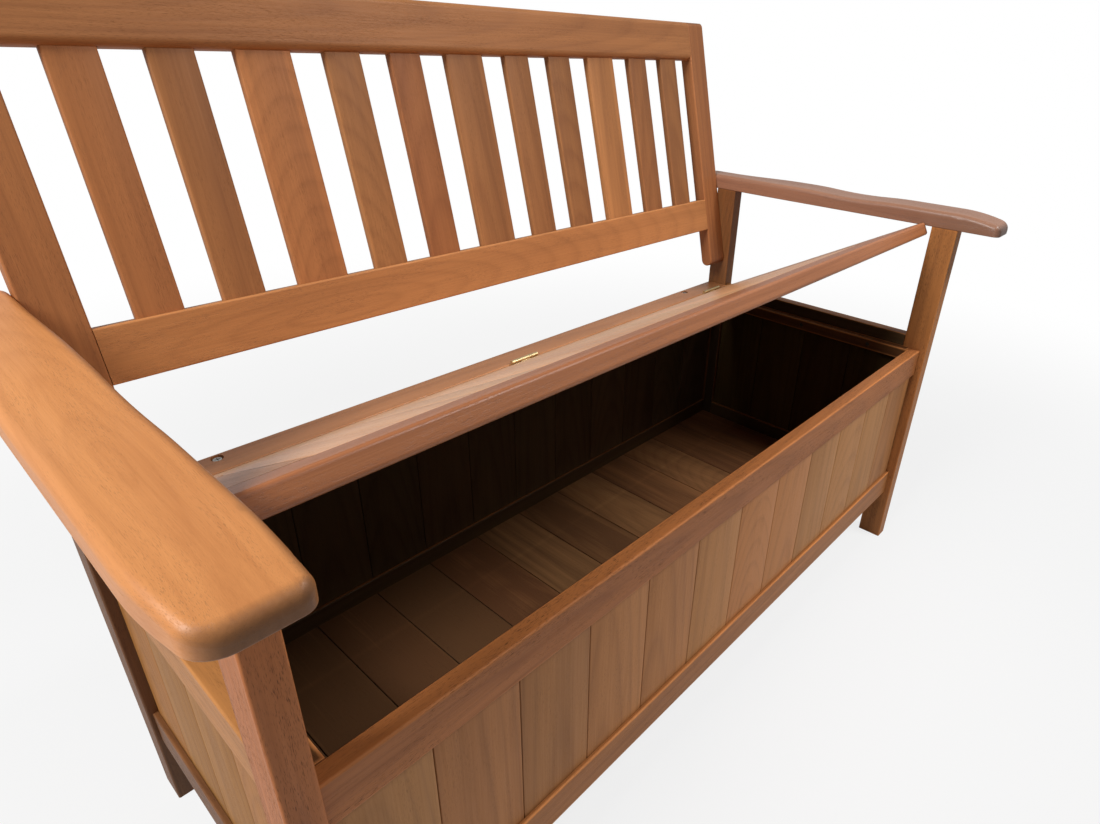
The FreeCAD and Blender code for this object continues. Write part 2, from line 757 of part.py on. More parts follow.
# The lid is built about the hinge axis: x along the bench, y up from the axis, z towards the front edge.
def on_lid(obj, name):
    return node(place(obj, 0, hinge_y, hinge_z, X_AXIS, lid_turn), name)


node(group(fixed_leaves), "hinge_leaves_seat")
on_lid(group(lid_leaves), "hinge_leaves_lid")
node(group(pins), "hinge_pins")
node(group([hinge_screw(p, "y") for p in fixed_heads]), "screws_hinge_seat")
on_lid(group([hinge_screw(p, "z") for p in lid_heads]), "screws_hinge_lid")


# Fixed seat board behind the lid

plank = box(-half_span + s.panel_end, board_y0, s.seat_top - s.seat_t, wall_w, s.seat_board_w, s.seat_t)
block = eased(plank, "x", s.edge_round)
node(cut(block, seat_holes() + [hinge_screw_hole(p, "y") for p in fixed_heads]), "seat_board_rear")
seat_screws = [screw(p, seat_screw_len, "-z", s.seat_screw_r, s.seat_screw_head_r, s.seat_screw_head_t)
               for p in seat_screw_points]
node(group(seat_screws), "screws_seat_board")


# Lid frame, boards and batten

lid_low = derive("lid_low", -(hinge_rise + s.seat_t))
lid_step = derive("lid_step", -(hinge_rise + s.lid_board_t))
frame_in_x = derive("frame_in_x", lid_half - s.lid_end_w)
bed_x = derive("bed_x", frame_in_x + s.lid_ledge)
rear_in = derive("rear_in", lid_rear + s.lid_rail_w)
front_in = derive("front_in", lid_len - s.lid_rail_w)
lid_tenon_y = derive("lid_tenon_y", lid_low + s.lid_tenon_rise)
lid_tenon_x = derive("lid_tenon_x", lid_half - s.lid_end_w / 2 - s.lid_tenon_w / 2)


def lid_mortises(z):
    return [side_box(sign, lid_tenon_x - s.joint_fit, lid_tenon_y - s.joint_fit, z,
                     s.lid_tenon_w + 2 * s.joint_fit, s.lid_tenon_t + 2 * s.joint_fit,
                     s.lid_tenon + s.slack)
            for side, sign in SIDES]


def lid_long_rail(name, z, bed_z, mortise_z, holes=()):
    block = box(-lid_half, lid_low, z, 2 * lid_half, s.seat_t, s.lid_rail_w)
    block = eased(block, "x", s.lid_edge_round if name == "lid_rail_front" else s.edge_round)
    bed = box(-bed_x, lid_step, bed_z, 2 * bed_x, s.seat_t, s.lid_ledge)
    return on_lid(cut(block, [bed] + lid_mortises(mortise_z) + list(holes)), name)


lid_long_rail("lid_rail_front", front_in, front_in, front_in)
lid_long_rail("lid_rail_rear", lid_rear, rear_in - s.lid_ledge, rear_in - s.lid_tenon - s.slack,
              [hinge_screw_hole(p, "z") for p in lid_heads])
for side, sign in SIDES:
    block = eased(side_box(sign, frame_in_x, lid_low, rear_in, s.lid_end_w, s.seat_t, front_in - rear_in),
                  "z", s.edge_round)
    bed = side_box(sign, frame_in_x - s.slack, lid_step, rear_in, s.lid_ledge + s.slack, s.seat_t,
                   front_in - rear_in)
    parts = [cut(block, [bed])]
    for z in (rear_in - s.lid_tenon, front_in):
        parts.append(side_box(sign, lid_tenon_x, lid_tenon_y, z, s.lid_tenon_w, s.lid_tenon_t, s.lid_tenon))
    on_lid(fuse(parts), "lid_rail_" + side)

# an open joint at each end lets the boards swell
lid_bed_w = derive("lid_bed_w", 2 * bed_x - 2 * s.lid_gap)
lid_bed_len = derive("lid_bed_len", front_in - rear_in + 2 * s.lid_ledge - 2 * s.panel_end)
bed_start = derive("bed_start", rear_in - s.lid_ledge + s.panel_end)
cover = boards(lid_bed_w, s.lid_board_t, lid_bed_len, s.lid_boards)
# the boards lie on the ledges of the frame, on the same turn as the lid
turn_sin = derive("turn_sin", sine(lid_turn))
turn_cos = derive("turn_cos", cosine(lid_turn))
place(cover, -bed_x + s.lid_gap, hinge_y + lid_step * turn_cos - bed_start * turn_sin,
      hinge_z + lid_step * turn_sin + bed_start * turn_cos, X_AXIS, lid_turn)
node(cover, "lid_boards")
batten_z = (rear_in + front_in - s.lid_batten_w) / 2
batten = box(-frame_in_x + s.panel_end, lid_low, batten_z, 2 * frame_in_x - 2 * s.panel_end,
             lid_step - lid_low, s.lid_batten_w)
on_lid(eased(batten, "x", s.edge_round), "lid_batten")


# Back frame, built upright on its own slope: y runs through the thickness, z up the slope from seat level

def on_back(obj, name):
    return node(place(obj, 0, back_front_y, s.seat_top, X_AXIS, -s.recline), name)


back_tenon_gap = s.back_tenon_t + 2 * s.joint_fit
back_tenon_high = s.back_tenon_h + 2 * s.joint_fit
back_rails = (("back_rail_bottom", s.back_rail_low, s.back_rail_h),
              ("back_rail_top", top_rail_low, s.top_rail_h))
stile_len = derive("stile_len", s.stile_top - s.stile_low)


def stile(name, sign):
    x0 = stile_in if sign > 0 else -half_span
    body = new_body()
    points = [(x0, 0), (x0 + s.stile_w, 0), (x0 + s.stile_w, s.stile_t), (x0, s.stile_t)]
    bar = pad(body, outline(body, "XY_Plane", points), stile_len)
    low = round_edges(body, bar, s.stile_foot_round,
                      lambda e: runs_along(e, "x") and e.BoundBox.ZMax < stile_len.value / 2)
    high = round_edges(body, low, s.stile_head_round,
                       lambda e: runs_along(e, "x") and e.BoundBox.ZMin > stile_len.value - 0.01)
    round_edges(body, high, s.edge_round, lambda e: e.BoundBox.XMax - e.BoundBox.XMin < 0.01)
    inner = sign * stile_in
    for step in bolt_steps:
        z = bolt_slope(step) - s.stile_low
        outer = sign * half_span
        inward = "-x" if sign > 0 else "x"
        bored(body, outer, stile_mid, z, s.bolt_r + s.round_fit, s.bolt_in_stile + s.slack, inward)
        nut_x = outer - sign * (s.bolt_in_stile - s.nut_r)
        bored(body, nut_x, s.stile_t, z, s.nut_r + s.round_fit, s.nut_len + s.slack, "-y")
    for rail, low_z, high_z in back_rails:
        z = low_z + (high_z - back_tenon_high) / 2 - s.stile_low
        hole = body.newObject("PartDesign::SubtractiveBox", "mortise")
        deep = s.back_tenon + s.slack
        bind(hole, Length=deep, Width=back_tenon_gap, Height=back_tenon_high)
        place(hole, inner if sign > 0 else inner - deep, (s.stile_t - back_tenon_gap) / 2, z)
        body.Tip = hole
    along = s.stile_low
    place(body, 0, back_front_y + along * lean_sin, s.seat_top + along * lean_cos, X_AXIS, -s.recline)
    return node(body, name)


for side, sign in SIDES:
    stile("back_stile_" + side, sign)

# Slat middles, counted from the middle of the back: two narrow slats between each wide one, all gaps alike
slat_half = 5
slat_widths = [s.slat_narrow if i % 3 else s.slat_wide for i in range(slat_half + 1)]
slat_sum = slat_widths[0]
for width in slat_widths[1:]:
    slat_sum = slat_sum + 2 * width
slat_gap = derive("slat_gap", (2 * stile_in - slat_sum) / (2 * slat_half + 2))
slat_middles = [as_size(0)]
for i in range(1, slat_half + 1):
    step = slat_widths[i - 1] / 2 + slat_gap + slat_widths[i] / 2
    slat_middles.append(derive("slat_middle_%d" % i, slat_middles[-1] + step))
slats = [(-slat_middles[i], slat_widths[i]) for i in range(slat_half, 0, -1)]
slats += [(slat_middles[i], slat_widths[i]) for i in range(slat_half + 1)]


def slat_holes(z):
    deep = s.slat_tenon + s.slack
    thick = s.slat_t + 2 * s.joint_fit
    return [box(x - w / 2 - s.joint_fit, slat_y0 - s.joint_fit, z, w + 2 * s.joint_fit, thick, deep)
            for x, w in slats]


for name, low_z, high_z in back_rails:
    block = eased(box(-stile_in, 0, low_z, 2 * stile_in, s.stile_t, high_z), "x",
                  s.stile_head_round if name == "back_rail_top" else s.edge_round)
    parts = [block]
    for side, sign in SIDES:
        z = low_z + (high_z - s.back_tenon_h) / 2
        parts.append(side_box(sign, stile_in, (s.stile_t - s.back_tenon_t) / 2, z,
                              s.back_tenon, s.back_tenon_t, s.back_tenon_h))
    mouth = low_z if name == "back_rail_top" else back_rail_top - s.slat_tenon - s.slack
    on_back(cut(fuse(parts), slat_holes(mouth)), name)

slat_z0 = derive("slat_z0", back_rail_top - s.slat_tenon)
slat_len = derive("slat_len", top_rail_low + s.slat_tenon - slat_z0)
for i, (x, w) in enumerate(slats, 1):
    blade = eased(box(x - w / 2, slat_y0, slat_z0, w, s.slat_t, slat_len), "z", s.edge_round)
    on_back(blade, "back_slat_%02d" % i)

bolts, nuts = [], []
bolt_len = derive("bolt_len", s.leg_w - s.bolt_recess + s.bolt_in_stile)
for side, sign in SIDES:
    inward = "-x" if sign > 0 else "x"
    for step in bolt_steps:
        slope = bolt_slope(step)
        seat = (sign * (half_span + s.leg_w - s.bolt_recess), stile_mid, slope)
        head = rod(*shifted(seat, inward, -s.bolt_head_t), s.bolt_head_r, s.bolt_head_t, inward)
        bolts.append(fuse([head, rod(*seat, s.bolt_r, bolt_len, inward)]))
        nut_x = sign * (half_span - s.bolt_in_stile + s.nut_r)
        barrel = rod(nut_x, s.stile_t, slope, s.nut_r, s.nut_len, "-y")
        thread = rod(sign * half_span, stile_mid, slope, s.bolt_r + s.round_fit, s.stile_w, inward)
        nuts.append(cut(barrel, [thread]))
on_back(group(bolts), "bolts_back")
on_back(group(nuts), "nuts_back")


# Arms, resting on the legs

arm_len = derive("arm_len", s.arm_front + s.frame_depth + s.arm_back)
waist_end = derive("waist_end", s.arm_front + s.frame_depth - s.leg_d)
waist_start = derive("waist_start", waist_end - s.arm_rear_run)
dip_quarter = derive("dip_quarter", s.arm_dip_run / 4)
dip_r = derive("dip_r", (dip_quarter * dip_quarter + s.arm_dip * s.arm_dip / 4) / s.arm_dip)
nose_r = derive("nose_r", (s.arm_nose_run * s.arm_nose_run + s.arm_nose_drop * s.arm_nose_drop)
                / (2 * s.arm_nose_drop))


def near(edge, x, y):
    middle = edge.BoundBox.Center
    return runs_along(edge, "z") and abs(middle.x - x.value) < 0.5 and abs(middle.y - y.value) < 0.5


# A shallow hollow across the top of an arm: a wave of four equal arcs.
def hollow(y):
    x = -2 * s.arm_w
    wide = 4 * s.arm_w
    low = s.arm_t - s.arm_dip
    start = y - 2 * dip_quarter
    end = y + 2 * dip_quarter

    def slab(y0, run):
        return box(x, y0, low - s.arm_dip, wide, run, 4 * s.arm_dip)

    def drum(y0, z0):
        return rod(x, y0, z0, dip_r, wide, "x")

    middle = doc.addObject("Part::Common", "middle")
    middle.Base = slab(y - dip_quarter, 2 * dip_quarter)
    middle.Tool = drum(y, low + dip_r)
    fall = cut(slab(start, dip_quarter), [drum(start, s.arm_t - dip_r)])
    rise = cut(slab(end - dip_quarter, dip_quarter), [drum(end, s.arm_t - dip_r)])
    return [fall, middle, rise]


# The top of an arm falls away to its front end in one long arc.
def nose():
    x = -2 * s.arm_w
    wide = 4 * s.arm_w
    block = box(x, -s.slack, s.arm_t - 2 * s.arm_nose_drop,
                wide, s.arm_nose_run + s.slack, 4 * s.arm_nose_drop)
    return cut(block, [rod(x, s.arm_nose_run, s.arm_t - nose_r, nose_r, wide, "x")])


def arm(name, sign):
    body = new_body()
    zero = as_size(0)
    inner = sign * -s.arm_lap
    outer = sign * (s.arm_w - s.arm_lap)
    front_outer = outer - sign * s.arm_front_cut
    rear_outer = outer - sign * s.arm_rear_cut
    corners = [(inner, zero, s.arm_round_inner), (front_outer, zero, s.arm_round_outer),
               (outer, s.arm_front_run, s.arm_round_waist),
               (outer, waist_start, s.arm_round_waist), (rear_outer, waist_end, s.arm_round_waist),
               (rear_outer, arm_len, s.arm_round_rear), (zero, arm_len, s.arm_round_rear),
               (zero, waist_end, None), (inner, waist_start, None)]
    last = pad(body, outline(body, "XY_Plane", [(x, y) for x, y, radius in corners]), s.arm_t)
    rounds = [corner for corner in corners if corner[2]]
    rounds.sort(key=lambda corner: -corner[2].value)
    for x, y, radius in rounds:
        last = round_edges(body, last, radius, lambda e: near(e, x, y))
    waved = cut(body, hollow(s.arm_front + s.arm_dip_from_front) + [nose()])

    def top_rim(e):
        room = e.BoundBox
        across = room.YMax - room.YMin < 0.01 and room.YMin > 0.01 and room.YMax < arm_len.value - 0.01
        return room.ZMin > s.arm_t.value - s.arm_nose_drop.value - 0.5 and not across

    def rim_radius(point):
        return s.arm_edge_front if point.y < 0.01 else s.arm_edge_top

    smooth = rounded(waved, rim_radius, top_rim)
    smooth = rounded(smooth, s.arm_edge_bottom, lambda e: e.BoundBox.ZMax < 0.01)
    middles = (s.arm_front + s.leg_d / 2, s.arm_front + s.frame_depth - s.leg_d / 2)
    holes = [rod(sign * s.leg_w / 2, y, 0, s.dowel_r + s.round_fit, s.dowel_in_arm + s.slack, "z")
             for y in middles]
    return node(place(cut(smooth, holes), sign * half_span, front_y - s.arm_front, s.leg_h), name)


dowels = []
dowel_len = s.dowel_in_leg + s.dowel_in_arm
for side, sign in SIDES:
    arm("arm_" + side, sign)
    for y in (front_y + s.leg_d / 2, rear_y - s.leg_d / 2):
        dowels.append(rod(sign * leg_mid_x, y, s.leg_h - s.dowel_in_leg, s.dowel_r, dowel_len, "z"))
node(group(dowels), "dowels_arms")


# Check every object, then write one file for each piece

doc.recompute()
for obj in doc.Objects:
    if "Invalid" in obj.State or "Error" in obj.State:
        raise RuntimeError("bad state: %s %s" % (obj.Label, obj.State))
for obj in nodes:
    if obj.Shape.isNull() or not obj.Shape.isValid():
        raise RuntimeError("bad shape: " + obj.Label)
os.makedirs("parts", exist_ok=True)
for obj in nodes:
    obj.Shape.exportStep("parts/%s.step" % obj.Label)
print("pieces written:", len(nodes))
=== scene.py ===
import json
import math

import bmesh
import bpy
from mathutils import Matrix, Vector


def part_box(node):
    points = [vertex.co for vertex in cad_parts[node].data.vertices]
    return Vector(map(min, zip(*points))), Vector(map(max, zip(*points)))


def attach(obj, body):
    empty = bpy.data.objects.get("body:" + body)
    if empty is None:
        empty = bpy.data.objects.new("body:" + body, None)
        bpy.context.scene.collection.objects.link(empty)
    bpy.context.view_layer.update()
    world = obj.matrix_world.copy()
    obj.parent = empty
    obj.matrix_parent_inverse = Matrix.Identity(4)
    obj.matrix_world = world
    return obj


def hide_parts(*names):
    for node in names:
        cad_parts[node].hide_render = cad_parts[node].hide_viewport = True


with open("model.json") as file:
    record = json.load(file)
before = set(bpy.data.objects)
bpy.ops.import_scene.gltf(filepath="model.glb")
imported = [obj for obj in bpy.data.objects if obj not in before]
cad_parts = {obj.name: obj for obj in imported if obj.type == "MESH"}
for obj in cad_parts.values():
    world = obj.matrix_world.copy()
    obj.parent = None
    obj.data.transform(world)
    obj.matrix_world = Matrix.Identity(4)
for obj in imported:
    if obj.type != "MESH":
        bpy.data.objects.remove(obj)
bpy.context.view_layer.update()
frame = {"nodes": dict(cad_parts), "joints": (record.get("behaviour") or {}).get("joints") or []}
nodes = frame["nodes"]
print("bench loaded:", len(nodes), "pieces")

# Directions of the wood: the back leans and the lid stands open at rest
benchLines = {
    "recline": math.radians(13.8),
    "lidOpen": math.radians(-frame["joints"][0]["range_deg"][0]),
}
lean, tilt = benchLines["recline"], benchLines["lidOpen"]
ways = {
    "x": Vector((1, 0, 0)),
    "y": Vector((0, 1, 0)),
    "z": Vector((0, 0, 1)),
    "backUp": Vector((0, math.sin(lean), math.cos(lean))),
    "lidOut": Vector((0, -math.cos(tilt), math.sin(tilt))),
}


def plug(tree, socket, value):
    if isinstance(value, bpy.types.NodeSocket):
        tree.links.new(value, socket)
    else:
        socket.default_value = value


def addNode(tree, kind, values=None, **settings):
    node = tree.nodes.new(kind)
    for key, value in settings.items():
        setattr(node, key, value)
    for key, value in (values or {}).items():
        plug(tree, node.inputs[key], value)
    return node


def calc(tree, operation, *values):
    node = addNode(tree, "ShaderNodeMath", dict(enumerate(values)), operation=operation)
    return node.outputs[0]


def vecCalc(tree, operation, *values, scale=None):
    node = addNode(tree, "ShaderNodeVectorMath", dict(enumerate(values)), operation=operation)
    if scale is not None:
        plug(tree, node.inputs["Scale"], scale)
    return node.outputs["Value" if operation in ("LENGTH", "DOT_PRODUCT") else "Vector"]


def remap(tree, value, low=0.0, high=1.0, least=0.0, most=1.0, **settings):
    limits = dict(enumerate((value, low, high, least, most)))
    return addNode(tree, "ShaderNodeMapRange", limits, **settings).outputs[0]


def split(tree, vector):
    return addNode(tree, "ShaderNodeSeparateXYZ", {0: vector}).outputs


def combine(tree, x=0.0, y=0.0, z=0.0):
    return addNode(tree, "ShaderNodeCombineXYZ", dict(enumerate((x, y, z)))).outputs[0]


# Places of the two values and of the result among the sockets of a Mix node
mixSockets = {"RGBA": (6, 7, 2), "VECTOR": (4, 5, 1)}


def mix(tree, kind, share, first, second):
    firstIn, secondIn, result = mixSockets[kind]
    values = {0: share, firstIn: first, secondIn: second}
    return addNode(tree, "ShaderNodeMix", values, data_type=kind).outputs[result]


def joined(tree, *parts):
    both = addNode(tree, "GeometryNodeJoinGeometry")
    for part in parts:
        tree.links.new(part, both.inputs[0])
    return both.outputs[0]


def addSockets(tree, inputs, outputs):
    for way, rows in (("INPUT", inputs), ("OUTPUT", outputs)):
        for label, kind, value in rows:
            socket = tree.interface.new_socket(label, in_out=way, socket_type="NodeSocket" + kind)
            if value is not None:
                socket.default_value = value
    return addNode(tree, "NodeGroupInput").outputs, addNode(tree, "NodeGroupOutput").inputs


# Oiled hardwood: place runs along the grain in x, across the face in y and through the board in z
woodGrain = {
    "seedStep": (0.613, 0.171, 0.237),  # how far each seed moves a piece through the noise
    "wobble": (0.0, 0.014, 0.014),      # how far the grain wanders, in metres
    "wobbleScale": (1.7, 7.0, 7.0),
    "ringWidth": 0.0085,
    "ringBase": 0.45,                   # grey at both ends of a ring
    "ringStops": ((0.18, 0.72), (0.62, 0.55), (0.9, 0.08)),
    "pithSide": (0.37, 0.05),           # turns per seed and spread of the pith, beside the board
    "pithDeep": (0.73, 0.05),
    "pithDepth": 0.03,
    "pithTilt": 0.02,
    "archTilt": 0.3,                    # extra tilt of the few boards that show arches
    "archTurns": 0.59,
    "archPower": 4.0,
    "streakScale": (1.2, 34.0, 34.0),
    "fibreScale": (9.0, 420.0, 420.0),
    "poreScale": (170.0, 2400.0, 2400.0),
    "poreRange": (0.58, 0.68),
    "poreDark": 0.6,
    "clusterScale": (10.0, 55.0, 55.0),
    "clusterRange": (0.38, 0.62),
    "clusterLeast": 0.15,               # pores that stay between two clusters
    "mottleScale": (4.0, 10.0, 10.0),
    "toneWeights": (0.9, 0.55, 0.5),    # of streaks, fibres and mottle
    "edgeWidth": 0.003,
    "jointShadeWidth": 0.0012,                # painted shade: dark line beside each board joint
    "jointShadeDark": 0.85,
    "lightBandWidth": 0.006,
    "redShift": (0.06, -0.10, -0.12),   # colour of a fully red board against a plain one
    "boxShadeTint": (0.30, 0.44, 0.60),    # painted shade: darker inside faces of the box, against the lit outside
    "innerFrom": 0.001,                 # depth past the middle of a board where its inside begins
    "endDark": 0.68,                    # end grain drinks more oil
    "fibreRough": -0.25,
    "poreRough": 0.2,
    "streakHeight": 0.5,
    "bumpDepth": 0.0005,
    "bumpStrength": 0.35,
}


def buildWoodGroup(g):
    tree = bpy.data.node_groups.new("oiledWood", "ShaderNodeTree")
    inputs = (("Place", "Vector", None), ("Half Size", "Vector", None), ("Seed", "Float", 0.0),
              ("Tone", "Float", 0.0), ("Light Wood", "Color", None), ("Dark Wood", "Color", None),
              ("Figure", "Float", 0.4), ("Pores", "Float", 0.6), ("Wear", "Float", 0.3),
              ("Matt", "Float", 0.42), ("Red", "Float", 0.0), ("Seam", "Float", 0.0),
              ("Scuff", "Float", 0.0), ("Scuff At", "Float", 0.0), ("Inside", "Float", 0.0),
              ("In Box", "Float", 0.0), ("End Grain", "Float", 0.0))
    given, made = addSockets(tree, inputs, (("Color", "Color", None), ("Roughness", "Float", None),
                                            ("Normal", "Vector", None)))

    def noise(place, scale, detail, rough=0.5):
        spread = vecCalc(tree, "MULTIPLY", place, scale)
        return addNode(tree, "ShaderNodeTexNoise", {"Vector": spread, "Scale": 1.0, "Detail": detail,
                                                    "Roughness": rough})

    def centred(value, weight):
        return calc(tree, "MULTIPLY", calc(tree, "SUBTRACT", value, 0.5), weight)

    def seedTurn(turns):
        return calc(tree, "FRACT", calc(tree, "MULTIPLY", given["Seed"], turns))

    away = vecCalc(tree, "SCALE", g["seedStep"], scale=given["Seed"])
    moved = vecCalc(tree, "ADD", given["Place"], away)
    wander = noise(moved, g["wobbleScale"], 2.0)
    bend = vecCalc(tree, "SUBTRACT", wander.outputs["Color"], (0.5, 0.5, 0.5))
    bend = vecCalc(tree, "MULTIPLY", bend, g["wobble"])
    along = vecCalc(tree, "ADD", moved, bend)

    # growth rings round a pith that lies beside the board and runs a little askew
    cut = split(tree, vecCalc(tree, "ADD", given["Place"], bend))
    (sideTurns, sideSpread), (deepTurns, deepSpread) = g["pithSide"], g["pithDeep"]
    pithY = centred(seedTurn(sideTurns), sideSpread)
    pithZ = calc(tree, "ADD", g["pithDepth"], calc(tree, "MULTIPLY", seedTurn(deepTurns), deepSpread))
    arch = calc(tree, "POWER", seedTurn(g["archTurns"]), g["archPower"])
    slant = calc(tree, "ADD", g["pithTilt"], calc(tree, "MULTIPLY", arch, g["archTilt"]))
    slope = calc(tree, "MULTIPLY", cut[0], slant)
    ringPlace = combine(tree, y=calc(tree, "ADD", cut[1], pithY),
                        z=calc(tree, "ADD", calc(tree, "ADD", cut[2], pithZ), slope))
    rings = calc(tree, "DIVIDE", vecCalc(tree, "LENGTH", ringPlace), g["ringWidth"])
    rings = calc(tree, "FRACT", calc(tree, "ADD", rings, wander.outputs[0]))
    ringTone = addNode(tree, "ShaderNodeValToRGB", {0: rings})
    stops = ringTone.color_ramp.elements
    for end in (0, 1):
        stops[end].position, stops[end].color = end, (g["ringBase"],) * 3 + (1,)
    for spot, grey in g["ringStops"]:
        stops.new(spot).color = (grey, grey, grey, 1)

    streaks = noise(along, g["streakScale"], 3.0).outputs[0]
    fibres = noise(along, g["fibreScale"], 4.0, 0.65).outputs[0]
    mottle = noise(along, g["mottleScale"], 2.0).outputs[0]
    flecks = remap(tree, noise(along, g["poreScale"], 1.0).outputs[0], *g["poreRange"])
    cluster = noise(along, g["clusterScale"], 2.0).outputs[0]
    cluster = remap(tree, cluster, *g["clusterRange"], least=g["clusterLeast"])
    flecks = calc(tree, "MULTIPLY", calc(tree, "MULTIPLY", flecks, cluster), given["Pores"])

    # paler edges, rubbed wear, and where the edge value is high a painted highlight along the arris: the
    # second smallest distance to the faces of the board
    edge = vecCalc(tree, "SUBTRACT", given["Half Size"], vecCalc(tree, "ABSOLUTE", given["Place"]))
    edge = split(tree, edge)
    near = calc(tree, "MINIMUM", edge[0], edge[1])
    far = calc(tree, "MINIMUM", calc(tree, "MAXIMUM", edge[0], edge[1]), edge[2])
    edgeWearAndGlint = remap(tree, calc(tree, "MAXIMUM", near, far), 0.0, g["edgeWidth"], least=1.0, most=0.0)
    edgeWearAndGlint = calc(tree, "MULTIPLY", calc(tree, "MULTIPLY", edgeWearAndGlint, mottle), given["Wear"])
    jointShade = remap(tree, edge[1], 0.0, g["jointShadeWidth"], least=g["jointShadeDark"], most=0.0)
    jointShade = calc(tree, "MULTIPLY", jointShade, given["Seam"])
    # a pale band across the boards at one place along them: painted light
    line = calc(tree, "ABSOLUTE", calc(tree, "SUBTRACT", cut[0], given["Scuff At"]))
    line = remap(tree, line, 0.0, g["lightBandWidth"], least=1.0, most=0.0)
    lightBand = calc(tree, "MULTIPLY", calc(tree, "MULTIPLY", line, mottle), given["Scuff"])

    tone = calc(tree, "ADD", 0.5, given["Tone"])
    tone = calc(tree, "ADD", tone, calc(tree, "MULTIPLY", centred(ringTone.outputs[0], 1.0), given["Figure"]))
    for part, weight in zip((streaks, fibres, mottle), g["toneWeights"]):
        tone = calc(tree, "ADD", tone, centred(part, weight))
    tone = addNode(tree, "ShaderNodeClamp", {0: tone}).outputs[0]
    wood = mix(tree, "RGBA", tone, given["Dark Wood"], given["Light Wood"])
    shade = calc(tree, "SUBTRACT", 1.0, calc(tree, "MULTIPLY", flecks, g["poreDark"]))
    shade = calc(tree, "ADD", shade, calc(tree, "ADD", edgeWearAndGlint, lightBand))
    shade = calc(tree, "MULTIPLY", shade, calc(tree, "SUBTRACT", 1.0, jointShade))
    ends = calc(tree, "MULTIPLY", given["End Grain"], g["endDark"])
    shade = calc(tree, "MULTIPLY", shade, calc(tree, "SUBTRACT", 1.0, ends))
    tint = vecCalc(tree, "ADD", (1.0, 1.0, 1.0), vecCalc(tree, "SCALE", g["redShift"], scale=given["Red"]))
    tinted = vecCalc(tree, "MULTIPLY", wood, tint)
    # The inner side of a board and any point within the box take the darker tint: painted shade
    depth = split(tree, given["Place"])[2]
    boxShade = calc(tree, "GREATER_THAN", calc(tree, "MULTIPLY", depth, given["Inside"]), g["innerFrom"])
    boxShade = calc(tree, "MAXIMUM", boxShade, given["In Box"])
    boxShaded = mix(tree, "VECTOR", boxShade, (1.0, 1.0, 1.0), g["boxShadeTint"])
    tinted = vecCalc(tree, "MULTIPLY", tinted, boxShaded)
    plug(tree, made["Color"], vecCalc(tree, "SCALE", tinted, scale=shade))

    rough = calc(tree, "ADD", given["Matt"], centred(fibres, g["fibreRough"]))
    plug(tree, made["Roughness"], calc(tree, "ADD", rough, calc(tree, "MULTIPLY", flecks, g["poreRough"])))
    height = calc(tree, "SUBTRACT", calc(tree, "ADD", fibres, centred(streaks, g["streakHeight"])), flecks)
    bump = addNode(tree, "ShaderNodeBump", {"Strength": g["bumpStrength"], "Distance": g["bumpDepth"],
                                            "Height": height})
    plug(tree, made["Normal"], bump.outputs[0])
    return tree


oiledWood = buildWoodGroup(woodGrain)

# Looks of the wood for the parts of the bench; some are darker or paler copies of another look that hold
# painted shade or a painted sheen
woodLooks = {
    "wood_arm": {"light": (0.74, 0.310, 0.102, 1), "dark": (0.46, 0.165, 0.048, 1),
                 "figure": 0.25, "pores": 0.4, "wear": 0.2, "matt": 0.42, "shine": 0.4},
    # darker, redder copy of the arm wood for the far arm: painted shade
    "arm_shade": {"light": (0.415, 0.210, 0.125, 1), "dark": (0.235, 0.112, 0.066, 1),
                "figure": 0.25, "pores": 0.45, "wear": 0.3, "matt": 0.36, "shine": 0.5},
    "wood_frame": {"light": (0.56, 0.230, 0.066, 1), "dark": (0.27, 0.104, 0.030, 1),
                   "figure": 0.3, "pores": 0.5, "wear": 0.35, "matt": 0.5, "shine": 0.28},
    "leg": {"light": (0.56, 0.220, 0.058, 1), "dark": (0.25, 0.094, 0.029, 1),
            "figure": 0.3, "pores": 1.1, "wear": 0.5, "matt": 0.5, "shine": 0.28},
    # darker copy of the leg wood: painted shade for pieces that stand in shadow
    "leg_shade": {"light": (0.30, 0.118, 0.034, 1), "dark": (0.13, 0.052, 0.018, 1),
                  "figure": 0.3, "pores": 0.9, "wear": 0.5, "matt": 0.5, "shine": 0.28},
    "wood_back": {"light": (0.57, 0.235, 0.078, 1), "dark": (0.29, 0.108, 0.036, 1),
                  "figure": 0.3, "pores": 0.5, "wear": 0.3, "matt": 0.5, "shine": 0.3},
    "wood_seat": {"light": (0.58, 0.262, 0.104, 1), "dark": (0.31, 0.126, 0.046, 1),
                  "figure": 0.3, "pores": 0.45, "wear": 0.35, "matt": 0.36, "shine": 0.45},
    # paler, yellower copy of the seat wood for the lid's top: painted sheen
    "lid_top": {"light": (0.81, 0.440, 0.215, 1), "dark": (0.50, 0.240, 0.104, 1),
                "figure": 0.3, "pores": 0.4, "wear": 0.3, "matt": 0.31, "shine": 0.75},
    "side_boards": {"light": (0.42, 0.172, 0.036, 1), "dark": (0.235, 0.088, 0.018, 1),
                    "figure": 0.45, "pores": 0.4, "wear": 0.2, "matt": 0.54, "shine": 0.22},
    # darker copy of the board wood for the box floor: painted shade
    "floor_boards": {"light": (0.47, 0.214, 0.081, 1), "dark": (0.14, 0.060, 0.024, 1),
                     "figure": 0.2, "pores": 0.4, "wear": 0.2, "matt": 0.54, "shine": 0.24},
    "wood_boards": {"light": (0.54, 0.238, 0.082, 1), "dark": (0.28, 0.114, 0.038, 1),
                    "figure": 0.45, "pores": 0.4, "wear": 0.2, "matt": 0.54, "shine": 0.24},
}


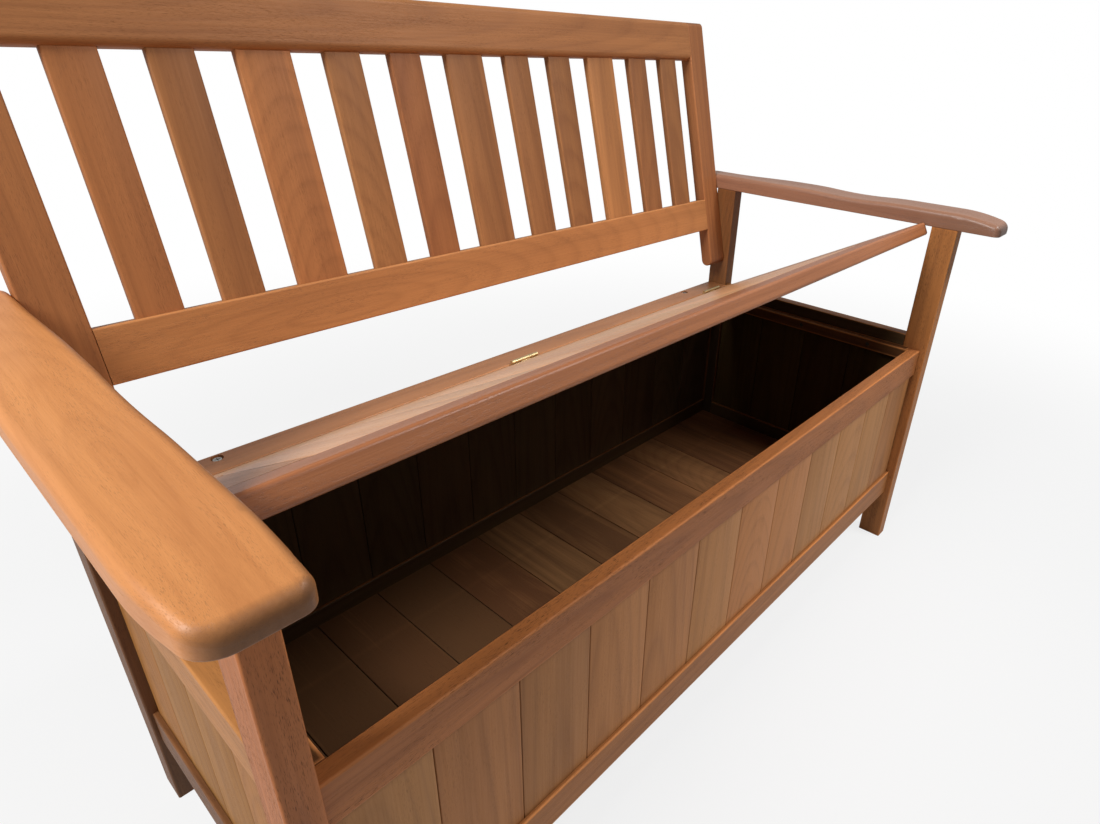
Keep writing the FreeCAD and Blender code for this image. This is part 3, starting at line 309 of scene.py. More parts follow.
def woodMaterial(name, look, halfSize, seed, tone, red, placer, extra):
    material = bpy.data.materials.new(name)
    material.use_nodes = True
    tree = material.node_tree
    shader = tree.nodes["Principled BSDF"]
    group = addNode(tree, "ShaderNodeGroup", node_tree=oiledWood)
    rows = {"Half Size": halfSize, "Light Wood": look["light"], "Dark Wood": look["dark"],
            "Figure": look["figure"], "Pores": look["pores"], "Wear": look["wear"], "Matt": look["matt"]}
    rows.update({"Place": placer, "Seed": seed, "Tone": tone, "Red": red}, **extra)
    for key, value in rows.items():
        plug(tree, group.inputs[key], value(tree) if callable(value) else value)
    shader.inputs["Specular IOR Level"].default_value = look["shine"]
    plug(tree, shader.inputs["Base Color"], group.outputs["Color"])
    plug(tree, shader.inputs["Roughness"], group.outputs["Roughness"])
    plug(tree, shader.inputs["Normal"], group.outputs["Normal"])
    return material


# Turn, middle and half size of a piece whose grain and face lie along two directions
def pieceFrame(name, grain, across):
    g, a = ways[grain], ways[across]
    turn = Matrix((g, a, g.cross(a)))
    points = [turn @ v.co for v in nodes[name].data.vertices]
    low = Vector(min(p[i] for p in points) for i in range(3))
    high = Vector(max(p[i] for p in points) for i in range(3))
    return turn, (low + high) / 2, (high - low) / 2


# Solid pieces that keep their shape: look, grain, face direction, tone, redness
# The darker looks of the rear legs, the lower left rail, the lid cleats and the right arm, and the low tone
# of the upper right rail, are painted shade
solidPieces = {
    "arm_left": ("wood_arm", "y", "x", 0.05, 0.0),
    "arm_right": ("arm_shade", "y", "x", 0.0, 0.2),
    "leg_front_left": ("leg", "z", "x", -0.05, 1.0),
    "leg_front_right": ("leg", "z", "x", 0.05, 0.2),
    "leg_rear_left": ("leg_shade", "z", "x", -0.4, 0.0),
    "leg_rear_right": ("leg_shade", "z", "x", -0.1, 0.0),
    "rail_front_upper": ("wood_frame", "x", "z", -0.1, 0.8),
    "rail_front_lower": ("wood_frame", "x", "z", -0.1, 0.3),
    "rail_rear_upper": ("wood_frame", "x", "z", -0.1, 0.0),
    "rail_rear_lower": ("wood_frame", "x", "z", -0.45, 0.2),
    "rail_left_upper": ("wood_frame", "y", "z", 0.05, -0.3),
    "rail_left_lower": ("leg_shade", "y", "z", -0.35, 0.0),
    "rail_right_upper": ("wood_frame", "y", "z", -0.45, 0.0),
    "rail_right_lower": ("wood_frame", "y", "z", -0.45, 0.0),
    "cleat_floor_front": ("wood_frame", "x", "z", -0.4, 0.0),
    "cleat_floor_rear": ("wood_frame", "x", "z", -0.5, 0.0),
    "cleat_lid_left": ("leg_shade", "y", "z", -0.3, 0.0),
    "cleat_lid_right": ("leg_shade", "y", "z", -0.3, 0.0),
    "seat_board_rear": ("wood_seat", "x", "y", -0.1, 0.3),
    "lid_rail_front": ("wood_seat", "x", "lidOut", -0.35, 1.0),
    "lid_rail_rear": ("lid_top", "x", "lidOut", 0.15, 0.0),
    "lid_rail_left": ("wood_seat", "lidOut", "x", 0.1, 0.1),
    "lid_rail_right": ("wood_seat", "lidOut", "x", 0.05, 0.0),
    "lid_batten": ("wood_seat", "x", "lidOut", -0.1, 0.0),
    "back_stile_left": ("wood_back", "backUp", "x", 0.0, 0.2),
    "back_stile_right": ("wood_back", "backUp", "x", -0.42, 0.3),
    "back_rail_bottom": ("wood_back", "x", "backUp", 0.25, 0.0),
    "back_rail_top": ("wood_back", "x", "backUp", -0.05, 0.0),
    "dowels_arms": ("wood_arm", "z", "x", 0.1, 0.0),
}

# Pieces with painted highlights along their arrises on top of rubbed wear, or with more open pores
pieceMarks = {
    "rail_front_lower": {"Wear": 2.2},
    "rail_front_upper": {"Wear": 0.9, "Pores": 1.2},
    "rail_right_upper": {"Wear": 2.0},
    "cleat_lid_left": {"Wear": 6.0},
    "cleat_lid_right": {"Wear": 6.0},
}


def objectPlace(turn, middle):
    def placer(tree):
        spot = addNode(tree, "ShaderNodeTexCoord").outputs["Object"]
        mapping = addNode(tree, "ShaderNodeMapping", {"Vector": spot, "Location": -middle,
                                                      "Rotation": turn.to_euler("XYZ")})
        return mapping.outputs[0]
    return placer


# End grain shows in full on the rounded ends of the arms and weaker on plain square ends
endShow = {"arm": 1.0, "other": 0.6, "from": 0.3, "to": 0.95}


def endGrain(grain, most):
    def reader(tree):
        facing = addNode(tree, "ShaderNodeTexCoord").outputs["Normal"]
        square = calc(tree, "ABSOLUTE", vecCalc(tree, "DOT_PRODUCT", facing, ways[grain]))
        return remap(tree, square, endShow["from"], endShow["to"], most=most)
    return reader


# Faces that look into the storage box get a darker tint: painted shade
boxShadedPieces = ("leg_front_left", "leg_rear", "rail_rear", "rail_left", "rail_right", "cleat_floor")
boxFoot = 0.1   # below the box floor, above the feet
boxLow = Vector((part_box("boards_floor")[0].x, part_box("rail_front_upper")[1].y, boxFoot))
boxHigh = Vector((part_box("boards_floor")[1].x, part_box("rail_rear_upper")[0].y,
                  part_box("seat_board_rear")[1].z))
boxSlack = Vector((0.0012, 0.0012, -0.001))


def boxShadeMask(tree):
    spot = addNode(tree, "ShaderNodeTexCoord").outputs["Object"]
    away = vecCalc(tree, "ABSOLUTE", vecCalc(tree, "SUBTRACT", spot, (boxLow + boxHigh) / 2))
    room = vecCalc(tree, "SUBTRACT", (boxHigh - boxLow) / 2 + boxSlack, away)
    room = split(tree, room)
    least = calc(tree, "MINIMUM", calc(tree, "MINIMUM", room[0], room[1]), room[2])
    return calc(tree, "GREATER_THAN", least, 0.0)


def paintPiece(name, material):
    nodes[name].data.materials.clear()
    nodes[name].data.materials.append(material)


seedGap = 1.37
for count, (name, (look, grain, across, tone, red)) in enumerate(solidPieces.items(), 1):
    turn, middle, halfSize = pieceFrame(name, grain, across)
    most = endShow["arm" if name.startswith("arm_") else "other"]
    marks = {"End Grain": endGrain(grain, most), **pieceMarks.get(name, {})}
    if name.startswith(boxShadedPieces):
        marks["In Box"] = boxShadeMask
    material = woodMaterial(name, woodLooks[look], halfSize, count * seedGap, tone, red,
                            objectPlace(turn, middle), marks)
    paintPiece(name, material)
print("solid pieces finished:", len(solidPieces))


sharpAngle = math.radians(40)


# Runs a geometry tree and keeps the result as a plain mesh
def growMesh(name, tree, values, start=None):
    mesh = start or bpy.data.meshes.new(name)
    piece = bpy.data.objects.new(name, mesh)
    bpy.context.scene.collection.objects.link(piece)
    grow = piece.modifiers.new("grow", "NODES")
    grow.node_group = tree
    for item in tree.interface.items_tree:
        if item.in_out == "INPUT" and item.name in values:
            grow[item.identifier] = values[item.name]
    depsgraph = bpy.context.evaluated_depsgraph_get()
    grown = bpy.data.meshes.new_from_object(piece.evaluated_get(depsgraph), preserve_all_data_layers=True,
                                            depsgraph=depsgraph)
    piece.modifiers.remove(grow)
    piece.data = grown
    grown.name = name
    grown.shade_smooth()
    grown.set_sharp_from_angle(angle=sharpAngle)
    return piece


def setPiece(piece, body, replaced, turn=None, middle=None):
    if turn is not None:
        piece.data.transform(turn.inverted().to_4x4() @ Matrix.Translation(middle))
    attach(piece, body)
    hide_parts(*replaced)
    return piece


def storeName(tree, geometry, label, kind, domain, value):
    node = addNode(tree, "GeometryNodeStoreNamedAttribute", {"Geometry": geometry, "Name": label},
                   data_type=kind, domain=domain)
    plug(tree, node.inputs["Value"], value)
    return node.outputs[0]


# A planed board of the given section, lying along y, with its own grain place kept on its points
def plankNodes(tree, wide, thick, long, rounding):
    outline = addNode(tree, "GeometryNodeCurvePrimitiveQuadrilateral", {"Width": wide, "Height": thick})
    outline = addNode(tree, "GeometryNodeFilletCurve", {
        "Curve": outline.outputs[0], "Count": 3, "Radius": rounding, "Limit Radius": True}, mode="POLY")
    half = calc(tree, "MULTIPLY", long, 0.5)
    ends = [combine(tree, y=end) for end in (calc(tree, "MULTIPLY", half, -1.0), half)]
    line = addNode(tree, "GeometryNodeCurvePrimitiveLine", {"Start": ends[0], "End": ends[1]})
    line = addNode(tree, "GeometryNodeSetCurveNormal", {"Curve": line.outputs[0]}, mode="Z_UP")
    plank = addNode(tree, "GeometryNodeCurveToMesh", {
        "Curve": line.outputs[0], "Profile Curve": outline.outputs[0], "Fill Caps": True})
    x, y, z = split(tree, addNode(tree, "GeometryNodeInputPosition").outputs[0])
    return storeName(tree, plank.outputs[0], "grainPlace", "FLOAT_VECTOR", "POINT", combine(tree, y, x, z))


def toneNodes(tree, geometry, seed):
    chance = addNode(tree, "FunctionNodeRandomValue", {"Seed": seed}, data_type="FLOAT")
    return storeName(tree, geometry, "boardTone", "FLOAT", "INSTANCE", chance.outputs[1])


def finishNodes(tree, geometry, material, out):
    whole = addNode(tree, "GeometryNodeRealizeInstances", {"Geometry": geometry})
    painted = addNode(tree, "GeometryNodeSetMaterial", {"Geometry": whole.outputs[0], "Material": material})
    plug(tree, out, painted.outputs[0])


# A row of boards side by side, each with a tongue that fills the joint to the next one
def buildPanelTree():
    tree = bpy.data.node_groups.new("boardPanel", "GeometryNodeTree")
    inputs = (("Boards", "Int", 12), ("Pitch", "Float", 0.09), ("Length", "Float", 0.2),
              ("Thick", "Float", 0.008), ("Joint", "Float", 0.0006), ("Rounding", "Float", 0.0012),
              ("Tongue Wide", "Float", 0.004), ("Tongue Thick", "Float", 0.0026),
              ("Tongue Rounding", "Float", 0.0002), ("Seed", "Int", 1), ("Finish", "Material", None))
    given, made = addSockets(tree, inputs, (("Geometry", "Geometry", None),))
    board = plankNodes(tree, calc(tree, "SUBTRACT", given["Pitch"], given["Joint"]), given["Thick"],
                       given["Length"], given["Rounding"])
    tongue = plankNodes(tree, given["Tongue Wide"], given["Tongue Thick"], given["Length"],
                        given["Tongue Rounding"])
    shift = combine(tree, x=calc(tree, "MULTIPLY", given["Pitch"], 0.5))
    tongue = addNode(tree, "GeometryNodeTransform", {"Geometry": tongue, "Translation": shift})
    both = joined(tree, board, tongue.outputs[0])
    first = calc(tree, "MULTIPLY", calc(tree, "SUBTRACT", given["Boards"], 1.0),
                 calc(tree, "MULTIPLY", given["Pitch"], -0.5))
    row = addNode(tree, "GeometryNodeMeshLine", {
        "Count": given["Boards"], "Start Location": combine(tree, x=first),
        "Offset": combine(tree, x=given["Pitch"])}, mode="OFFSET")
    copies = addNode(tree, "GeometryNodeInstanceOnPoints", {"Points": row.outputs[0], "Instance": both})
    finishNodes(tree, toneNodes(tree, copies.outputs[0], given["Seed"]), given["Finish"], made["Geometry"])
    return tree


def attribute(label, weight=None, away=0.0):
    def reader(tree):
        node = addNode(tree, "ShaderNodeAttribute", attribute_name=label)
        if weight is None:
            return node.outputs["Vector"]
        return calc(tree, "ADD", calc(tree, "MULTIPLY", node.outputs["Fac"], weight), away)
    return reader


boardSeeds = 40.0   # how far the tone number of a board moves its seed
redTurns = 7.31


# Redness of a board from its own tone number, between minus and plus the share
def boardRed(share):
    def reader(tree):
        node = addNode(tree, "ShaderNodeAttribute", attribute_name="boardTone")
        number = calc(tree, "FRACT", calc(tree, "MULTIPLY", node.outputs["Fac"], redTurns))
        return calc(tree, "MULTIPLY", calc(tree, "SUBTRACT", number, 0.5), 2 * share)
    return reader


# Tongued boards: body, slot, count, row direction, length direction, tone spread, tone, redness
panelTree = buildPanelTree()
panels = {
    "boards_front": ("bench", "wood_boards", 12, "x", "z", 0.6, 0.21, 0.5),
    "boards_rear": ("bench", "wood_boards", 12, "x", "z", 0.5, -0.1, 0.4),
    "boards_left": ("bench", "wood_boards", 4, "y", "z", 0.5, -0.1, 0.5),
    "boards_right": ("bench", "wood_boards", 4, "y", "z", 0.5, -0.1, 0.4),
    "boards_floor": ("bench", "wood_boards", 12, "x", "y", 0.6, -0.35, 0.5),
    "lid_boards": ("lid", "wood_seat", 12, "x", "lidOut", 0.5, 0.22, 0.4),
}
panelLooks = {"lid_boards": "lid_top", "boards_left": "side_boards", "boards_right": "side_boards",
              "boards_floor": "floor_boards"}
# The floor's seed gives boards that run darker on the left and paler towards the middle and right: painted
# shade and light
panelSeeds = {"boards_floor": 1485}
# The sign on the shaded side picks which face of a panel looks into the box and gets painted shade
panelMarks = {
    "boards_front": {"Seam": 0.3, "Inside": -1.0},
    "boards_rear": {"Seam": 0.6, "Inside": 1.0},
    "boards_left": {"Seam": 0.6, "Inside": 1.0},
    "boards_right": {"Seam": 0.6, "Inside": -1.0},
    "boards_floor": {"Seam": 1.0, "Scuff": 0.3, "Scuff At": 0.115},
    "lid_boards": {"Seam": 0.9},
}
for count, (name, row) in enumerate(panels.items(), 1):
    body, slot, boards, rowWay, longWay, spread, tone, red = row
    turn, middle, halfSize = pieceFrame(name, rowWay, longWay)
    pitch = 2 * halfSize.x / boards
    half = (halfSize.y, pitch / 2, halfSize.z)
    look = woodLooks[panelLooks.get(name, slot)]
    finish = woodMaterial(name, look, half, attribute("boardTone", boardSeeds, count),
                          attribute("boardTone", spread, tone - spread / 2), boardRed(red),
                          attribute("grainPlace"), panelMarks[name])
    values = {"Boards": boards, "Pitch": pitch, "Length": 2 * halfSize.y, "Thick": 2 * halfSize.z,
              "Seed": panelSeeds.get(name, count), "Finish": finish}
    setPiece(growMesh(name.title().replace("_", ""), panelTree, values), body, [name], turn, middle)
print("board panels grown:", len(panels))


# Back slats: one wide and two narrow ones in turn, counted from the wide one in the middle
slatRepeat = 3.0


def buildSlatTree():
    tree = bpy.data.node_groups.new("backSlats", "GeometryNodeTree")
    inputs = (("Each Side", "Int", 5), ("Narrow", "Float", 0.044), ("Wide", "Float", 0.059),
              ("Gap", "Float", 0.038), ("Length", "Float", 0.26), ("Thick", "Float", 0.01),
              ("Rounding", "Float", 0.002), ("Seed", "Int", 1), ("Wide Seed", "Int", 31),
              ("Finish", "Material", None))
    given, made = addSockets(tree, inputs, (("Geometry", "Geometry", None),))
    total = calc(tree, "ADD", calc(tree, "MULTIPLY", given["Each Side"], 2.0), 1.0)
    row = addNode(tree, "GeometryNodeMeshLine", {"Count": total, "Offset": (0, 0, 0)}, mode="OFFSET")
    step = calc(tree, "SUBTRACT", addNode(tree, "GeometryNodeInputIndex").outputs[0], given["Each Side"])
    number = calc(tree, "ABSOLUTE", step)
    repeats = calc(tree, "DIVIDE", number, slatRepeat)
    extra = calc(tree, "ADD", calc(tree, "CEIL", repeats), calc(tree, "FLOOR", repeats))
    wider = calc(tree, "SUBTRACT", given["Wide"], given["Narrow"])
    extra = calc(tree, "MULTIPLY", extra, calc(tree, "MULTIPLY", wider, 0.5))
    pitch = calc(tree, "ADD", given["Narrow"], given["Gap"])
    reach = calc(tree, "ADD", calc(tree, "MULTIPLY", number, pitch), extra)
    aside = calc(tree, "MULTIPLY", calc(tree, "SIGN", step), reach)
    place = combine(tree, x=aside)
    row = addNode(tree, "GeometryNodeSetPosition", {"Geometry": row.outputs[0], "Position": place})
    inRepeat = calc(tree, "MODULO", number, slatRepeat)
    isNarrow = calc(tree, "GREATER_THAN", inRepeat, 0.5)
    isWide = calc(tree, "LESS_THAN", inRepeat, 0.5)
    kinds = []
    for wide, pick, offset in ((given["Narrow"], isNarrow, 0.0), (given["Wide"], isWide, given["Wide Seed"])):
        slat = plankNodes(tree, wide, given["Thick"], given["Length"], given["Rounding"])
        copies = addNode(tree, "GeometryNodeInstanceOnPoints", {
            "Points": row.outputs[0], "Instance": slat, "Selection": pick})
        kinds.append(toneNodes(tree, copies.outputs[0], calc(tree, "ADD", given["Seed"], offset)))
    finishNodes(tree, joined(tree, *kinds), given["Finish"], made["Geometry"])
    return tree


slatNames = sorted(name for name in nodes if name.startswith("back_slat"))
slatSet = {"seed": 597, "firstSeed": 9.0, "spread": 0.7, "tone": -0.15, "red": 0.45, "rounding": 0.002}
eachSide = len(slatNames) // 2
turn, middle, wideHalf = pieceFrame(slatNames[eachSide], "x", "backUp")
nextMiddle, narrowHalf = pieceFrame(slatNames[eachSide + 1], "x", "backUp")[1:]
slatGap = nextMiddle.x - narrowHalf.x - middle.x - wideHalf.x
finish = woodMaterial("back_slats", woodLooks["wood_back"], (wideHalf.y, narrowHalf.x, wideHalf.z),
                      attribute("boardTone", boardSeeds, slatSet["firstSeed"]),
                      attribute("boardTone", slatSet["spread"], slatSet["tone"] - slatSet["spread"] / 2),
                      boardRed(slatSet["red"]), attribute("grainPlace"), {})
values = {"Each Side": eachSide, "Narrow": 2 * narrowHalf.x, "Wide": 2 * wideHalf.x,
          "Gap": slatGap, "Length": 2 * wideHalf.y, "Thick": 2 * wideHalf.z, "Rounding": slatSet["rounding"],
          "Seed": slatSet["seed"], "Finish": finish}
setPiece(growMesh("BackSlats", buildSlatTree(), values), "bench", slatNames, turn, middle)
print("back slats grown:", len(slatNames))


# Metals: brass hinges, plated screws, and a darkened copy of the screw steel for the screws inside the box:
# painted shade
metalGrain = {
    "stainScale": 160.0,
    "stainDark": 0.6,
    "scratchScale": (300.0, 2600.0, 2600.0),
    "bumpStrength": 0.2,
    "bumpDepth": 0.0001,
}


def metalMaterial(name, tint, rough, scratch):
    material = bpy.data.materials.new(name)
    material.use_nodes = True
    tree = material.node_tree
    shader = tree.nodes["Principled BSDF"]
    shader.inputs["Metallic"].default_value = 1.0
    spot = addNode(tree, "ShaderNodeTexCoord").outputs["Object"]
    stain = addNode(tree, "ShaderNodeTexNoise", {"Vector": spot, "Scale": metalGrain["stainScale"],
                                                 "Detail": 4.0})
    spread = vecCalc(tree, "MULTIPLY", spot, metalGrain["scratchScale"])
    fine = addNode(tree, "ShaderNodeTexNoise", {"Vector": spread, "Scale": 1.0, "Detail": 3.0})
    stained = tuple(c * metalGrain["stainDark"] for c in tint[:3]) + (1,)
    plug(tree, shader.inputs["Base Color"], mix(tree, "RGBA", stain.outputs[0], stained, tint))
    marks = calc(tree, "MULTIPLY", fine.outputs[0], scratch)
    plug(tree, shader.inputs["Roughness"], calc(tree, "ADD", rough, marks))
    bump = addNode(tree, "ShaderNodeBump", {"Strength": metalGrain["bumpStrength"],
                                            "Distance": metalGrain["bumpDepth"], "Height": fine.outputs[0]})
    plug(tree, shader.inputs["Normal"], bump.outputs[0])
    return material


# Tint, roughness and strength of the scratches
metals = {
    "hinge_brass": ((0.83, 0.66, 0.36, 1), 0.28, 0.2),
    "screw_steel": ((0.62, 0.61, 0.58, 1), 0.3, 0.25),
    "screw_shaded": ((0.13, 0.115, 0.10, 1), 0.5, 0.25),
}
metalFinish = {name: metalMaterial(name, *look) for name, look in metals.items()}
metalPieces = {
    "hinge_leaves_seat": "hinge_brass", "hinge_leaves_lid": "hinge_brass", "hinge_pins": "hinge_brass",
    "screws_hinge_seat": "hinge_brass", "screws_hinge_lid": "hinge_brass",
    "screws_seat_board": "screw_steel", "screws_lid_cleats": "screw_steel",
    "screws_floor_cleats": "screw_steel", "bolts_back": "screw_steel", "nuts_back": "screw_steel",
}


weldGap = 1e-5   # points of a CAD mesh that lie nearer than this are one


# Lowest and highest corners of the separate solids in a CAD node
def solidBoxes(name):
    shell = bmesh.new()
    shell.from_mesh(nodes[name].data)
    bmesh.ops.remove_doubles(shell, verts=shell.verts, dist=weldGap)
    left, boxes = set(shell.verts), []
    while left:
        island, border = set(), [left.pop()]
        while border:
            vert = border.pop()
            island.add(vert)
            for link in vert.link_edges:
                other = link.other_vert(vert)
                if other in left:
                    left.discard(other)
                    border.append(other)
        boxes.append([Vector(pick(v.co[i] for v in island) for i in range(3)) for pick in (min, max)])
    shell.free()
    return boxes


# Screws and bolts with a driver recess, one on each point and turned to face its way out
headSet = {"topShare": 0.86, "tipShare": 0.55, "headSides": 40, "shankSides": 20}
recessSet = {"reach": 0.55, "width": 0.22, "depth": 0.6}    # shares of the head's radius and height


def buildScrewTree():
    tree = bpy.data.node_groups.new("drivenHeads", "GeometryNodeTree")
    inputs = (("Geometry", "Geometry", None), ("Head Radius", "Float", 0.004),
              ("Head Height", "Float", 0.002), ("Shank Radius", "Float", 0.002), ("Length", "Float", 0.03),
              ("Hex Socket", "Bool", False), ("Recess Reach", "Float", 0.002),
              ("Recess Width", "Float", 0.0008), ("Recess Depth", "Float", 0.001),
              ("Finish", "Material", None))
    given, made = addSockets(tree, inputs, (("Geometry", "Geometry", None),))

    def moved(geometry, z, turn=0.0):
        place = {"Geometry": geometry, "Translation": combine(tree, z=z), "Rotation": (0, 0, turn)}
        return addNode(tree, "GeometryNodeTransform", place).outputs[0]

    head = addNode(tree, "GeometryNodeMeshCone", {
        "Vertices": headSet["headSides"],
        "Radius Top": calc(tree, "MULTIPLY", given["Head Radius"], headSet["topShare"]),
        "Radius Bottom": given["Head Radius"], "Depth": given["Head Height"]}).outputs[0]
    head = moved(head, calc(tree, "MULTIPLY", given["Head Height"], -1.0))
    bar = combine(tree, calc(tree, "MULTIPLY", given["Recess Reach"], 2.0), given["Recess Width"],
                  calc(tree, "MULTIPLY", given["Recess Depth"], 2.0))
    bar = addNode(tree, "GeometryNodeMeshCube", {"Size": bar}).outputs[0]
    cross = joined(tree, bar, moved(bar, 0.0, math.pi / 2))
    hexagon = addNode(tree, "GeometryNodeMeshCylinder", {
        "Vertices": 6, "Radius": given["Recess Reach"],
        "Depth": calc(tree, "MULTIPLY", given["Recess Depth"], 2.0)}).outputs[0]
    recess = addNode(tree, "GeometryNodeSwitch", {
        "Switch": given["Hex Socket"], "False": cross, "True": hexagon}, input_type="GEOMETRY").outputs[0]
    cutHead = addNode(tree, "GeometryNodeMeshBoolean", {"Mesh 1": head, "Self Intersection": True},
                      operation="DIFFERENCE", solver="EXACT")
    tree.links.new(recess, cutHead.inputs["Mesh 2"])
    run = calc(tree, "SUBTRACT", given["Length"], given["Head Height"])
    shank = addNode(tree, "GeometryNodeMeshCone", {
        "Vertices": headSet["shankSides"],
        "Radius Top": calc(tree, "MULTIPLY", given["Shank Radius"], headSet["tipShare"]),
        "Radius Bottom": given["Shank Radius"], "Depth": run}).outputs[0]
    shank = addNode(tree, "GeometryNodeTransform", {"Geometry": shank,
                                                    "Rotation": (math.pi, 0, 0)}).outputs[0]
    shank = moved(shank, calc(tree, "MULTIPLY", given["Head Height"], -1.0))
    way = addNode(tree, "GeometryNodeInputNamedAttribute", {"Name": "facing"}, data_type="FLOAT_VECTOR")
    turned = addNode(tree, "FunctionNodeAlignRotationToVector", {"Vector": way.outputs[0]}, axis="Z")
    copies = addNode(tree, "GeometryNodeInstanceOnPoints", {
        "Points": given["Geometry"], "Instance": joined(tree, cutHead.outputs[0], shank),
        "Rotation": turned.outputs[0]})
    finishNodes(tree, copies.outputs[0], given["Finish"], made["Geometry"])
    return tree


# Screw sets: head height, shank radius, hex socket or cross, and the way a head faces
screwTree = buildScrewTree()
# the screws inside the box take the darkened steel: painted shade
shadedScrewSets = ("screws_lid_cleats", "screws_floor_cleats")
screwSets = {
    "screws_seat_board": (0.0030, 0.0025, False, lambda spot: (0, 0, 1)),
    "screws_lid_cleats": (0.0022, 0.0020, False, lambda spot: (math.copysign(1, -spot.x), 0, 0)),
    "screws_floor_cleats": (0.0022, 0.0020, False, lambda spot: (0, math.copysign(1, -spot.y), 0)),
    "bolts_back": (0.0030, 0.0030, True, lambda spot: (math.copysign(1, spot.x), 0, 0)),
}
for name, (headHeight, shankRadius, hexSocket, facing) in screwSets.items():
    points, faces = [], []
    for low, high in solidBoxes(name):
        middle, half = (low + high) / 2, (high - low) / 2
        out = Vector(facing(middle))
        reach = abs(half.dot(out))
        headRadius = max(half[i] for i in range(3) if abs(out[i]) < 0.5)
        points.append(middle + out * reach)
        faces.append(out)
    start = bpy.data.meshes.new(name)
    start.from_pydata(points, [], [])
    wayOut = start.attributes.new("facing", "FLOAT_VECTOR", "POINT")
    for row, out in zip(wayOut.data, faces):
        row.vector = out
    metal = "screw_shaded" if name in shadedScrewSets else metalPieces[name]
    values = {"Head Radius": headRadius, "Head Height": headHeight, "Shank Radius": shankRadius,
              "Length": 2 * reach, "Hex Socket": hexSocket, "Recess Reach": headRadius * recessSet["reach"],
              "Recess Width": headRadius * recessSet["width"],
              "Recess Depth": headHeight * recessSet["depth"], "Finish": metalFinish[metal]}
    piece = growMesh(name.title().replace("_", ""), screwTree, values, start)
    setPiece(piece, "bench", [name])
print("screw sets grown:", len(screwSets))

for name, slot in metalPieces.items():
    if name in screwSets:
        continue
    paintPiece(name, metalFinish[slot])
print("metal pieces finished:", len(metalPieces))


# One for what the camera sees straight or through glass, and less in reflections
def seenShare(tree, glint):
    rays = addNode(tree, "ShaderNodeLightPath").outputs
    straight = calc(tree, "MAXIMUM", rays["Is Camera Ray"], rays["Is Transmission Ray"])
    return calc(tree, "MAXIMUM", straight, calc(tree, "MULTIPLY", rays["Is Glossy Ray"], glint))


# Pale floor that keeps the shadow near the bench and fades into the white backdrop
studio = {"floorSize": 30.0, "floorColor": (0.66, 0.66, 0.66, 1), "floorRough": 0.9, "fadeFrom": 0.7,
          "fadeTo": 2.4, "paleNear": 0.8, "worldLight": 0.1, "floorGlint": 0.35, "skyGlint": 0.45}
floorMesh = bpy.data.meshes.new("floor")
reach = studio["floorSize"] / 2
floorMesh.from_pydata([(-reach, -reach, 0), (reach, -reach, 0), (reach, reach, 0), (-reach, reach, 0)], [],
                      [(0, 1, 2, 3)])
floor = bpy.data.objects.new("floor", floorMesh)
bpy.context.scene.collection.objects.link(floor)
floorPaint = bpy.data.materials.new("floor")
floorPaint.use_nodes = True
paint = floorPaint.node_tree
shader = paint.nodes["Principled BSDF"]
shader.inputs["Base Color"].default_value = studio["floorColor"]
shader.inputs["Roughness"].default_value = studio["floorRough"]
glow = addNode(paint, "ShaderNodeEmission", {"Color": (1, 1, 1, 1), "Strength": 1.0})
away = vecCalc(paint, "LENGTH", addNode(paint, "ShaderNodeTexCoord").outputs["Object"])
fade = remap(paint, away, studio["fadeFrom"], studio["fadeTo"], least=studio["paleNear"],
             interpolation_type="SMOOTHSTEP")
pale = calc(paint, "MULTIPLY", fade, seenShare(paint, studio["floorGlint"]))
blend = addNode(paint, "ShaderNodeMixShader", {0: pale, 1: shader.outputs[0], 2: glow.outputs[0]})
plug(paint, paint.nodes["Material Output"].inputs["Surface"], blend.outputs[0])
floorMesh.materials.append(floorPaint)

world = bpy.data.worlds.new("studio")
bpy.context.scene.world = world
world.use_nodes = True
sky = world.node_tree
backdrop = sky.nodes["Background"]
backdrop.inputs["Color"].default_value = (1, 1, 1, 1)
strength = remap(sky, seenShare(sky, studio["skyGlint"]), least=studio["worldLight"])
plug(sky, backdrop.inputs["Strength"], strength)

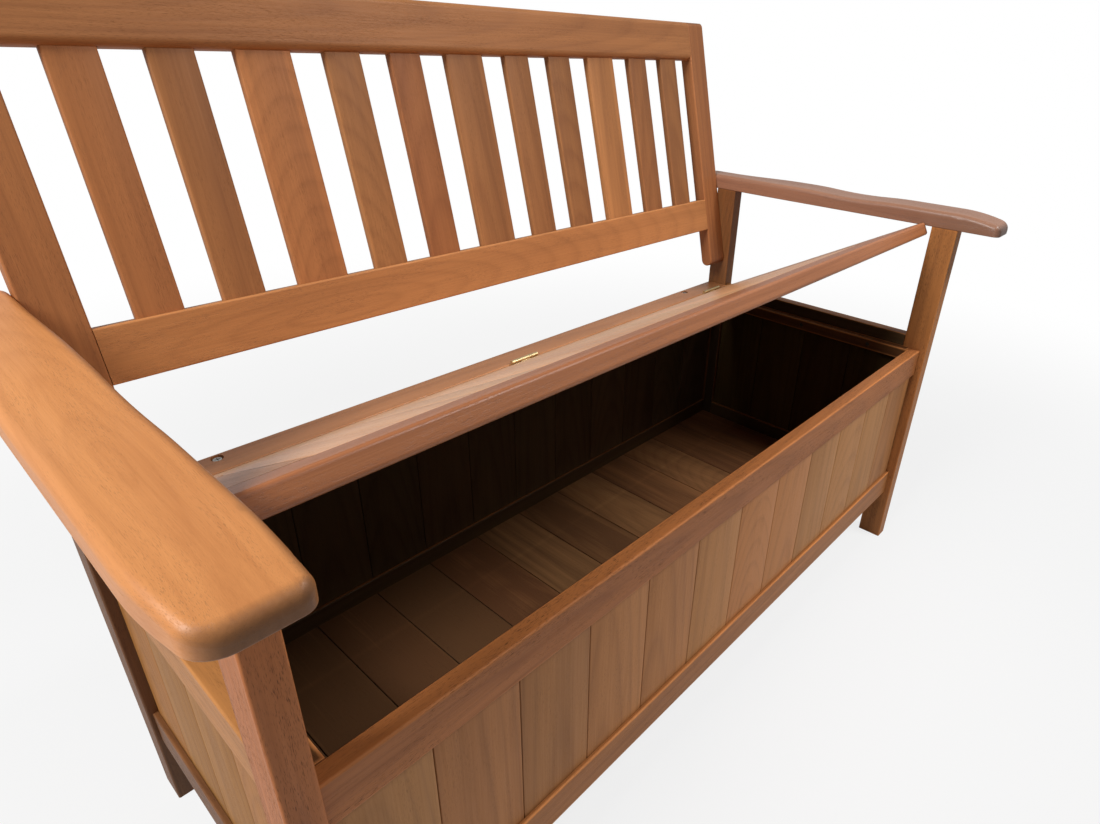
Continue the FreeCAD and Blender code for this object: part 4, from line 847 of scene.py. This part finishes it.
lamps = {
    "keyLamp": {"at": (-2.3, 0.05, 2.4), "aim": (0, 0, 0.4), "size": 1.2, "spread": 180, "watts": 80.0},
    "faceLamp": {"at": (0.95, -1.25, 2.15), "aim": (0.35, 0, 0.3), "size": 0.7, "spread": 75,
                 "watts": 6.0},
}
for name, lamp in lamps.items():
    light = bpy.data.lights.new(name, "AREA")
    light.shape = "DISK"
    light.size = lamp["size"]
    light.energy = lamp["watts"]
    light.spread = math.radians(lamp["spread"])
    holder = bpy.data.objects.new(name, light)
    bpy.context.scene.collection.objects.link(holder)
    holder.location = lamp["at"]
    holder.rotation_euler = (Vector(lamp["aim"]) - Vector(lamp["at"])).to_track_quat("-Z", "Y").to_euler()

# Angles in degrees, the rest of the lens in pixels of the picture
cameraSet = {"at": (-0.6401, -0.55465, 0.82372), "bearing": 49.862, "pitch": -27.433, "roll": 2.473,
             "focal": 704.23, "middle": (616.02, 409.89), "image": (1100, 824), "sensor": 36.0, "near": 0.02}
bearing, pitch, roll = (math.radians(cameraSet[key]) for key in ("bearing", "pitch", "roll"))
ahead = Vector((math.sin(bearing) * math.cos(pitch), math.cos(bearing) * math.cos(pitch),
                math.sin(pitch)))
level = Vector((math.cos(bearing), -math.sin(bearing), 0))
upright = level.cross(ahead)
sideways = math.cos(roll) * level + math.sin(roll) * upright
upward = -math.sin(roll) * level + math.cos(roll) * upright
lens = bpy.data.cameras.new("photoCamera")
lens.sensor_width = cameraSet["sensor"]
lens.lens = cameraSet["focal"] / cameraSet["image"][0] * lens.sensor_width
lens.shift_x = 0.5 - cameraSet["middle"][0] / cameraSet["image"][0]
lens.shift_y = (cameraSet["middle"][1] - cameraSet["image"][1] / 2) / cameraSet["image"][0]
lens.clip_start = cameraSet["near"]
camera = bpy.data.objects.new("photoCamera", lens)
bpy.context.scene.collection.objects.link(camera)
turned = Matrix((sideways, upward, -ahead)).transposed().to_4x4()
camera.matrix_world = Matrix.Translation(cameraSet["at"]) @ turned
bpy.context.scene.camera = camera
bpy.context.scene.view_settings.view_transform = "Standard"
print("studio set")
